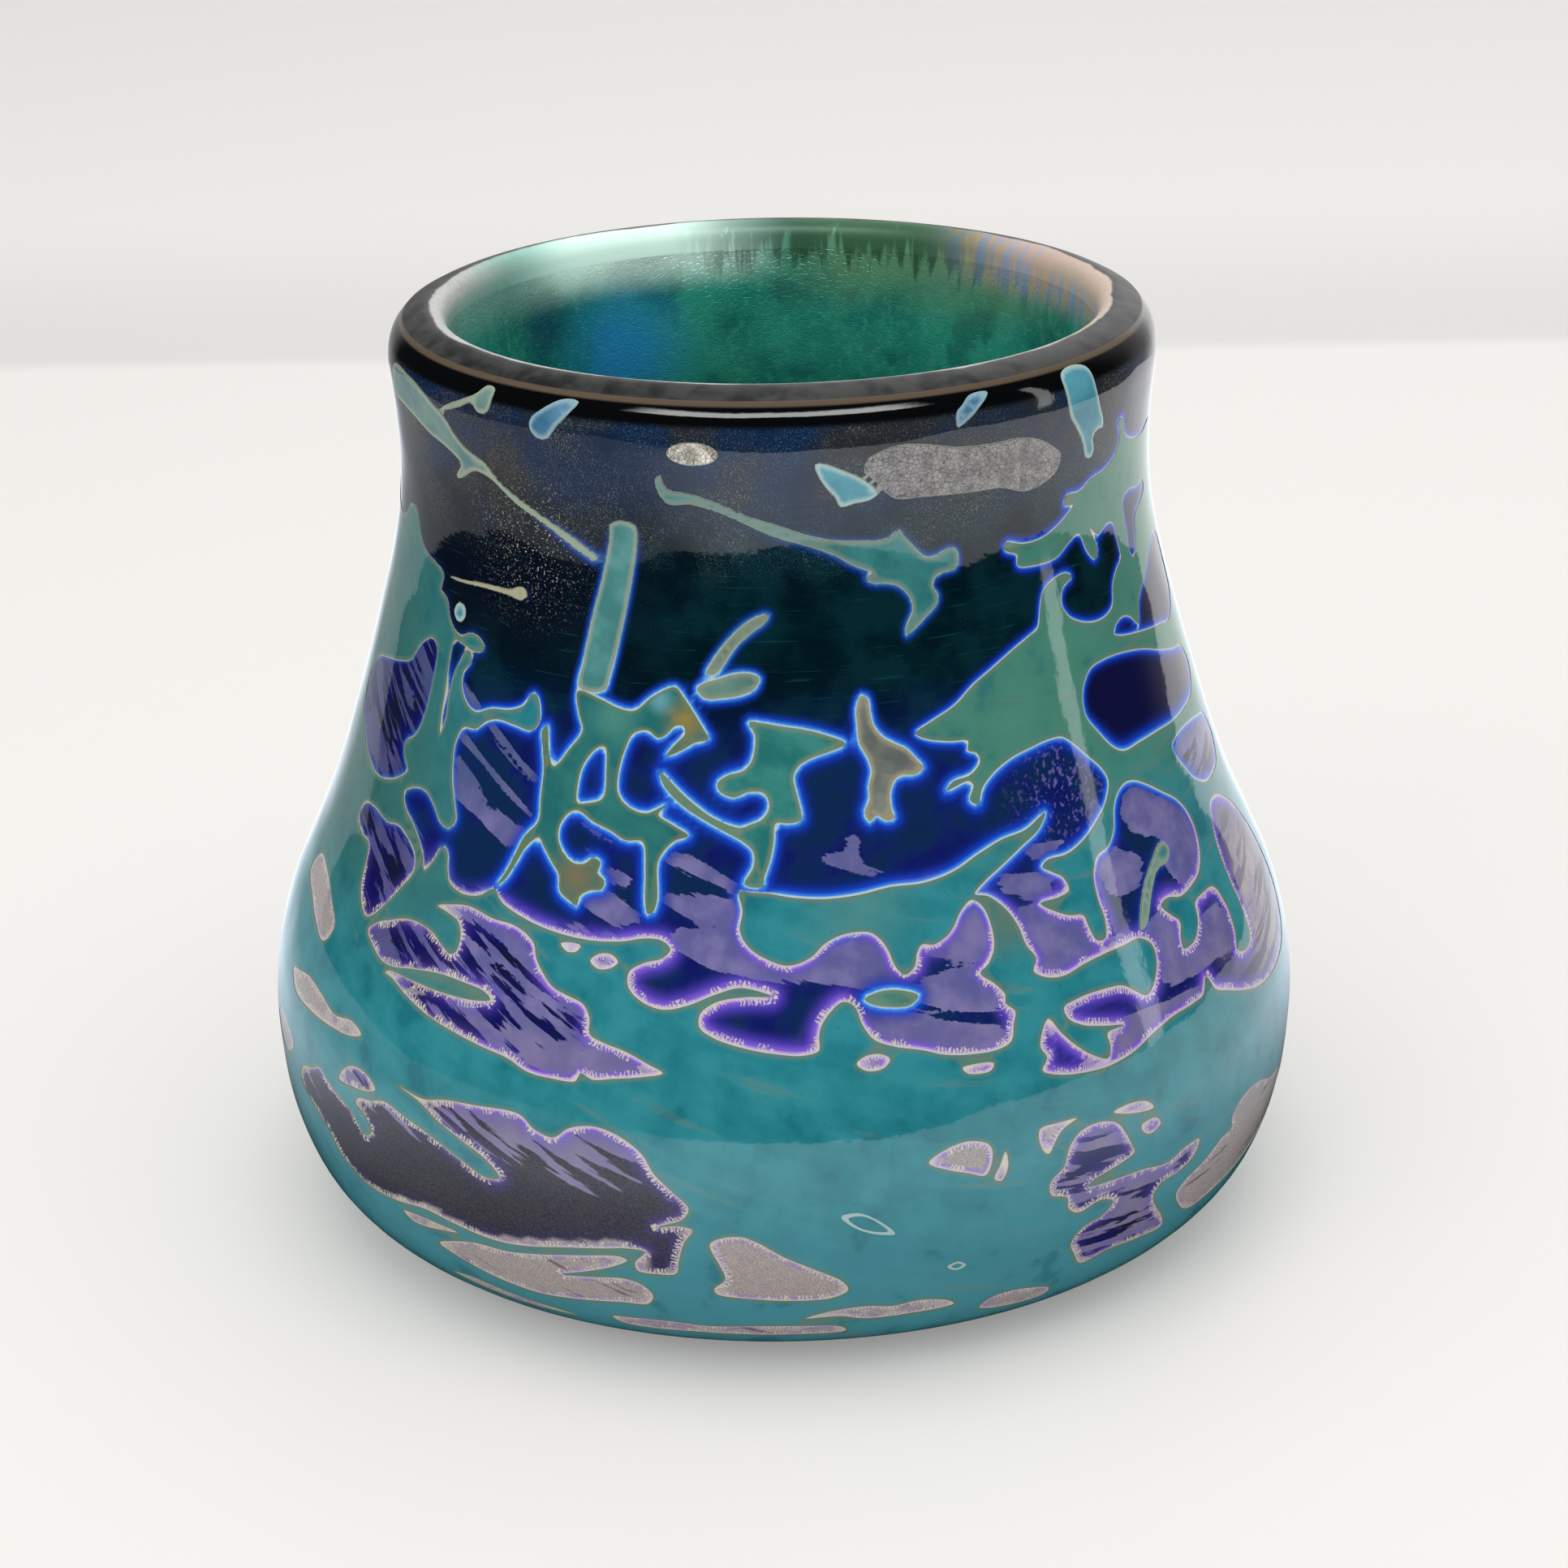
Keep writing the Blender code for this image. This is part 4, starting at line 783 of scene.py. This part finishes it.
# glow along the torn edges: blue above, violet lower down
halo = {
    "reach": 3.0,  # mm
    "blue": [
        (0.0, tint(216, 228, 232)), (0.045, tint(150, 204, 234)), (0.10, tint(56, 126, 226)),
        (0.22, tint(22, 64, 190)), (0.48, tint(15, 38, 134)), (1.0, tint(10, 26, 78)),
    ],
    "violet": [
        (0.0, tint(214, 204, 222)), (0.06, tint(186, 160, 222)), (0.15, tint(128, 92, 204)),
        (0.36, tint(84, 66, 186)), (0.7, tint(54, 48, 146)), (1.0, tint(34, 32, 112)),
    ],
}
edge = edge * (g.rise(z, 66, 76) * 0.7 + 1)
low = g.rise(z + (mottle - 0.5) * 10.0, 58, 50)
blueGlow, violetGlow = (g.make("ValToRGB", {"stops": halo[tone]}, {0: edge / halo["reach"]}) for tone in ("blue", "violet"))
glow = g.mix(low, blueGlow, violetGlow)
glowShare = g.rise(edge, 2.6, 0.2) * (1 - veilShare * g.rise(edge, 0.3, 1.2) * 0.8) * (1 - g.rise(x, -16, -30) * g.rise(z, 74, 80) * 0.8)
glowShare = glowShare * (1 - (beige + smoke * 0.6 + lilac * 0.45).maths("MINIMUM", 1.0) * g.rise(edge, 0.25, 0.9))
glowShare = glowShare * (1 - g.rise(x, -30, -40) * 0.65) * (1 - g.rise(x, 50, 58) * 0.5) * (1 - g.rise(z, 32, 22) * 0.5)
colour = g.mix(glowShare, colour, glow)
laidGlow = g.make("ValToRGB", {"stops": halo["blue"]}, {0: edgeLaid / halo["reach"]})
laidShare = g.rise(edgeLaid * (g.rise(z, 70, 80) * 0.8 + 1), 2.4, 0.1) * g.rise(z, 97, 90)
laidShare = laidShare * (1 - g.rise(z, 78, 84) * 0.5) * (1 - g.rise(x, -24, -28) * g.rise(z, 76, 80))
laidShare = laidShare * (1 - g.rise(x, 26, 32) * g.rise(z, 62, 56) * 0.85)
colour = g.mix(laidShare, colour, laidGlow)
line = g.rise(crisp - teeth * 0.7, 0.2, 0.06)
colour = g.mix(line * (0.55 + teeth * 0.35), colour, tint(204, 200, 172))
colour = g.mix(g.rise(edgeLaid, 0.16, 0.08) * 0.6, colour, tint(176, 186, 170))
fleck = g.near(where, spot(39, 64), 11.0) * g.rise(g.noise(where, 1.6, 4.0), 0.56, 0.6) * g.rise(edge, 0.2, 0.7)
colour = g.mix(fleck * 0.8, colour, tint(104, 98, 168))
neckDust = g.rise(g.noise(where, 7.0, 2.0), 0.55, 0.66) * g.rise(z, 88, 96)
colour = g.mix(neckDust * g.rise(mottle, 0.3, 0.6) * 0.5, colour, g.mix(g.rise(g.noise(where, 0.12, 3.0), 0.4, 0.6), tint(92, 110, 150), tint(150, 146, 134)))
swath = g.near(where, spot(-38, 92), 12.0)
colour = g.mix(swath * g.rise(g.noise(where, 4.0, 2.0), 0.62, 0.68), colour, tint(190, 184, 156))
# lip: black outside, a tan ridge, a matte crown and inside it a pale band that is a painted reflection
radius = (x * x + y * y).root()
top = g.rise(z, 106.6, 107.4)
lip = g.mix(g.rise(radius, 43.45, 43.2), tint(6, 7, 9), g.mix(g.rise(y, 20, -20), tint(30, 30, 32), tint(90, 78, 64)))
crownTone = g.mix(g.rise(g.noise(where, 0.35, 4.0), 0.35, 0.62), tint(18, 20, 22), tint(52, 53, 52))
lip = g.mix(g.rise(radius, 42.95, 42.65), lip, crownTone)
paleWave = (g.noise(where, 0.12, 4.0) - 0.5) * 2.0
# painted reflection: a pale band on the inner curve of the lip at the front, turning to the green lining colour at the
# back
rimReflectionAndLustre = g.mix(g.rise(y, 8, 26), g.mix(g.noise(where, 1.2, 3.0), tint(150, 156, 160), tint(212, 210, 200)), lustreAndPaintedSheen(g, where, x, y, z))
rimReflectionAndLustre = g.mix(g.rise(x, 24, 36) * 0.6, rimReflectionAndLustre, tint(206, 172, 146))
lip = g.mix(g.rise(radius + paleWave, 39.9, 39.5), lip, rimReflectionAndLustre)
lip = g.mix(g.rise(z, 109.2, 107.6) * g.rise(radius, 39.0, 38.2) * 0.8, lip, lustreAndPaintedSheen(g, where, x, y, z))
colour = g.mix(top * g.rise(z, 106.2, 107.0), colour, lip)
g.feed("Base Color", colour)
# painted highlight: a glow on the inner slope of the lip, high on the back left
g.feed("Emission Color", g.mix(paintedHighlightMask(g, x, y, z) * g.rise(radius, 40.2, 39.2), (0, 0, 0, 1), tint(190, 230, 215)))
matte = g.rise(radius, 43.1, 42.8) * g.rise(z, 106.6, 107.2)
g.feed("Roughness", matte * 0.36 + shine["roughness"])
ripple(g, where)
body.data.materials.clear()
body.data.materials.append(g.material)

liningGlaze = Glaze("greenLustreLining", {"Metallic": 0.35, "IOR": shine["index"], "Emission Strength": shine["paintedHighlightGlow"]})
g = liningGlaze
where, x, y, z = g.place()
cells = g.make("TexVoronoi", {"feature": "DISTANCE_TO_EDGE"}, {"Vector": where, "Scale": 1.5})
tone = g.noise(where, 0.07, 4.0)
green = lustreAndPaintedSheen(g, where, x, y, z)
# painted highlight: a glow on the lining, high on the back left
g.feed("Emission Color", g.mix(paintedHighlightMask(g, x, y, z) * g.rise(tone, 0.3, 0.6), (0, 0, 0, 1), tint(190, 230, 215)))
g.feed("Base Color", green)
g.feed("Roughness", tone * 0.2 + 0.16)
g.bump(g.rise(cells, 0.0, 0.12) + g.noise(where, 0.05, 2.0) * 2.0, 0.35, 0.12)
lining.data.materials.clear()
lining.data.materials.append(g.material)


def laidGlaze(name, low, high, rimColour, spread=0.7, extra=None):  # teal family: two tones, a paler edge
    g = Glaze(name, {"Roughness": shine["roughness"], "IOR": shine["index"]})
    where, x, y, z = g.place()
    grain = g.noise(drawn(g, x, y, z), 0.6, 3.0, 0.5)
    mottle = g.noise(where, 0.2, 4.0)
    colour = g.mix(g.rise(mottle * 0.75 + grain * 0.25, 0.38, 0.64), low, high)
    if extra:
        colour = extra(g, where, x, y, z, colour, grain, mottle)
    inner = g.value("inner") + (g.noise(where, 2.0, 3.0) - 0.5) * 0.3
    colour = g.mix(g.rise(inner, spread, 0.05) * 0.75, colour, rimColour)
    g.feed("Base Color", colour)
    ripple(g, where)
    return g.material


def overlayTones(g, where, x, y, z, colour, grain, mottle):
    # paler towards the bottom: a painted reflection of the table
    colour = g.mix(g.rise(z, 28, 10) * 0.65, colour, tint(80, 140, 154))
    colour = g.mix(g.rise(z, 54, 68) * g.rise(x, 4, 18) * 0.9, colour, g.mix(mottle, tint(58, 118, 100), tint(84, 138, 118)))
    colour = g.mix(g.rise(x, -26, -44) * g.rise(z, 36, 56) * 0.85, colour, g.mix(mottle, tint(44, 92, 90), tint(66, 112, 104)))
    colour = g.mix(g.near(where, spot(27, 52), 6.0) * 0.7, colour, tint(98, 110, 84))
    colour = g.mix(g.near(where, spot(9, 55.5), 9.0) * 0.4, colour, tint(98, 140, 128))
    colour = g.mix(g.rise(grain, 0.62, 0.72) * 0.35, colour, tint(104, 122, 108))
    colour = g.mix(g.rise(g.noise(where, 2.6, 3.0), 0.66, 0.72) * 0.3, colour, tint(14, 70, 84))
    return g.mix(g.rise(mottle, 0.42, 0.32) * 0.4, colour, tint(20, 94, 112))


def heronTones(g, where, x, y, z, colour, grain, mottle):
    colour = g.mix(g.near(where, spot(-22.5, 74.5), 3.6) * 0.7, colour, tint(82, 140, 128))
    colour = g.mix(g.near(where, spot(-12.5, 75.0), 3.4) * g.rise(mottle, 0.3, 0.5), colour, tint(140, 124, 66))
    colour = g.mix(g.near(where, spot(-16.0, 77.0), 2.2) * 0.7, colour, tint(110, 170, 180))
    return g.mix(g.near(where, spot(-25.5, 57.5), 4.6), colour, tint(114, 110, 84))


finishes = {
    "tealOverlay": laidGlaze("tealOverlayGlass", tint(34, 119, 130), tint(49, 134, 144), tint(104, 124, 104), 0.6, overlayTones),
    "barTrail": laidGlaze("barTrailGlass", tint(66, 124, 124), tint(90, 148, 146), tint(150, 160, 140)),
    "cometTrail": laidGlaze("cometTrailGlass", tint(42, 106, 108), tint(60, 128, 128), tint(120, 140, 126)),
    "petalShard": laidGlaze("petalGlass", tint(58, 126, 146), tint(84, 152, 168), tint(176, 198, 190)),
    "heronShard": laidGlaze("heronGlass", tint(34, 100, 102), tint(48, 116, 112), tint(112, 122, 84), 0.5, heronTones),
    "birdShard": laidGlaze("birdGlass", tint(36, 108, 106), tint(60, 132, 126), tint(116, 134, 106)),
    "figureShard": laidGlaze("figureGlass", tint(92, 98, 96), tint(124, 128, 120), tint(158, 150, 118)),
    "tickTrail": laidGlaze("tickGlass", tint(72, 108, 104), tint(98, 134, 126), tint(140, 146, 120)),
    "lipTrail": laidGlaze("lipTrailGlass", tint(78, 116, 120), tint(112, 142, 134), tint(160, 170, 146)),
    "lipDropLeft": laidGlaze("lipDropGlass", tint(60, 108, 140), tint(88, 134, 160), tint(150, 180, 190)),
    "streakTrail": laidGlaze("streakGlass", tint(120, 126, 104), tint(150, 150, 126), tint(176, 170, 140)),
}
sameAs = {
    "leafShard": "tickTrail", "longBubble": "petalShard", "smallBubble": "petalShard", "lipThread": "lipTrail",
    "lipDropSmall": "lipDropLeft", "lipDropRight": "petalShard", "seedShard": "birdShard", "beadShard": "petalShard",
    "bulbTrail": "barTrail", "barTrailBack": "barTrail", "cometTrailBack": "cometTrail",
}
for name, piece in {**trails, "tealOverlay": overlay}.items():
    piece.data.materials.clear()
    piece.data.materials.append(finishes[sameAs.get(name, name)])

leaves = (
    ("ovalLeaf", silverOval, tint(238, 234, 220), tint(160, 152, 136)),
    ("patchLeaf", silverPatch, tint(150, 148, 144), tint(112, 108, 112)),
)
for name, piece, pale, dark in leaves:
    g = Glaze(name, {"Metallic": 0.3, "IOR": shine["index"], "Coat Weight": 0.6, "Coat Roughness": 0.04})
    where, x, y, z = g.place()
    crackle = g.make("TexVoronoi", {"feature": "DISTANCE_TO_EDGE"}, {"Vector": where, "Scale": 1.9})
    flake = g.noise(where, 0.7, 5.0)
    colour = g.mix(g.rise(flake, 0.35, 0.65), dark, pale)
    colour = g.mix(g.rise(crackle, 0.06, 0.02) * 0.8, colour, tint(54, 44, 40))
    g.feed("Base Color", g.mix(g.rise(flake, 0.66, 0.74) * 0.5, colour, tint(84, 104, 150)))
    g.feed("Roughness", flake * 0.3 + 0.15)
    g.bump(g.rise(crackle, 0.0, 0.1), 0.3, 0.1)
    piece.data.materials.clear()
    piece.data.materials.append(g.material)
print("glass finished")

# Table and light.
studio = {
    "table": (0.60, 0.58, 0.555, 1), "floorSize": 14,
    "band": (0.49, 0.475, 0.455, 1), "bandFrom": 388, "bandAt": 400, "bandTo": 560,  # the shade behind, mm
    "floorGlow": 0.25, "mirrorTable": 1.45,      # light of the floor itself, and of the table that gloss sees
    "world": 0.74, "horizon": 0.87,              # surround for soft light, and as it is seen
    "behind": 0.85, "behindRight": 0.45, "strip": 9.0, "slot": 2.6, "dim": 0.012,  # surround that gloss sees
}
deselect()
bpy.ops.mesh.primitive_plane_add(size=studio["floorSize"])
floor = bpy.context.object
floor.name = "studioFloor"
floorPaint = Glaze("paleTable", {"Roughness": 0.6, "Emission Color": (1, 0.99, 0.96, 1), "Emission Strength": studio["floorGlow"]})
where, x, y, z = floorPaint.place()
band = floorPaint.rise(y, studio["bandFrom"], studio["bandAt"]) * floorPaint.rise(y, studio["bandTo"], studio["bandAt"])
floorPaint.feed("Base Color", floorPaint.mix(band, studio["table"], studio["band"]))
floor.data.materials.append(floorPaint.material)
floor.visible_glossy = False

deselect()
bpy.ops.mesh.primitive_plane_add(size=1, location=(0, 0.035, -0.0005))
mirrorTable = bpy.context.object
mirrorTable.name = "tableLight"
mirrorTable.scale = (0.84, 0.70, 1.0)
bpy.ops.object.transform_apply(location=True, scale=True)
tableGlow = Glaze("tableGlow", {
    "Base Color": (0, 0, 0, 1), "Roughness": 1.0, "Specular IOR Level": 0.0, "Emission Strength": studio["mirrorTable"],
})
where, x, y, z = tableGlow.place()
shadow = tableGlow.rise((x * x + y * y).root(), 60, 125)
leftFade = tableGlow.rise(x, -60, -190)
rightTone = tableGlow.mix(tableGlow.rise(x, 70, 190), (0.90, 0.98, 1.10, 1), (0.86, 0.85, 0.83, 1))
glowTone = tableGlow.mix(leftFade, rightTone, (0.28, 0.29, 0.29, 1))
tableGlow.feed("Emission Color", tableGlow.mix(shadow, (0, 0, 0, 1), glowTone))
mirrorTable.data.materials.append(tableGlow.material)
for sort in ("camera", "diffuse", "shadow", "transmission"):
    setattr(mirrorTable, "visible_" + sort, False)

world = bpy.data.worlds.new("softStudio")
bpy.context.scene.world = world
world.use_nodes = True
sky = Glaze("sky", tree=world.node_tree)
backdrop = sky.tree.nodes["Background"]
split = sky.tree.nodes.new("ShaderNodeSeparateXYZ")
sky.tree.links.new(sky.make("TexCoord", out="Generated").socket, split.inputs[0])
dx, dy, dz = (Wire(sky, split.outputs[i]) for i in range(3))
flat = (dx * dx + dy * dy).root()
facing = (0 - dy) / flat  # 1 towards the camera's side, -1 behind
side = dx / flat
behind = sky.rise(facing, -0.78, -0.96) * (1 - sky.rise(side, -0.05, -0.2) * 0.55)
behind = behind + sky.rise(facing, -0.40, -0.92) * sky.rise(side, 0.05, 0.35) * studio["behindRight"]
strip = sky.rise(dz, 0.64, 0.68) * sky.rise(dz, 0.84, 0.79) * sky.rise(facing, 0.55, 0.8)
slot = sky.rise(side, 0.985, 0.992) * sky.rise(facing, 0.01, 0.03) * sky.rise(facing, 0.12, 0.10)
slot = slot * sky.rise(dz, -0.2, -0.1) * sky.rise(dz, 0.55, 0.45)
shinePart = behind * studio["behind"] + strip * studio["strip"] + slot * studio["slot"] + studio["dim"]
path = sky.make("LightPath", out="Is Glossy Ray")
seen = sky.make("LightPath", out="Is Camera Ray")
strength = path * shinePart + (1 - path) * studio["world"] + seen * (studio["horizon"] - studio["world"])
sky.tree.links.new(strength.socket, backdrop.inputs["Strength"])
backdrop.inputs["Color"].default_value = (0.98, 0.98, 0.98, 1.0)

lights = {"over": ((0.05, -0.12, 0.95), 1.0, 5.0), "left": ((-0.8, -0.9, 0.7), 0.8, 3.0)}
for name, (place, size, power) in lights.items():
    deselect()
    bpy.ops.object.light_add(type="AREA", location=place)
    lamp = bpy.context.object
    lamp.name = "softbox_" + name
    lamp.data.size, lamp.data.energy = size, power
    lamp.rotation_euler = Vector(place).to_track_quat("Z", "Y").to_euler()
    lamp.visible_glossy = False
print("studio set")

# Camera.
deselect()
bpy.ops.object.camera_add()
camera = bpy.context.object
view = {"place": (0.0, -0.4161, 0.2127), "turn": -0.06, "tilt": 68.57, "roll": -1.01, "lens": 83.85, "sensor": 36.0}
camera.matrix_world = (
    Matrix.Translation(view["place"]) @ Matrix.Rotation(math.radians(view["turn"]), 4, "Z")
    @ Matrix.Rotation(math.radians(view["tilt"]), 4, "X") @ Matrix.Rotation(math.radians(view["roll"]), 4, "Z")
)
camera.data.lens, camera.data.sensor_width = view["lens"], view["sensor"]
camera.data.dof.use_dof = False
bpy.context.scene.camera = camera
bpy.context.scene.view_settings.view_transform = "Standard"
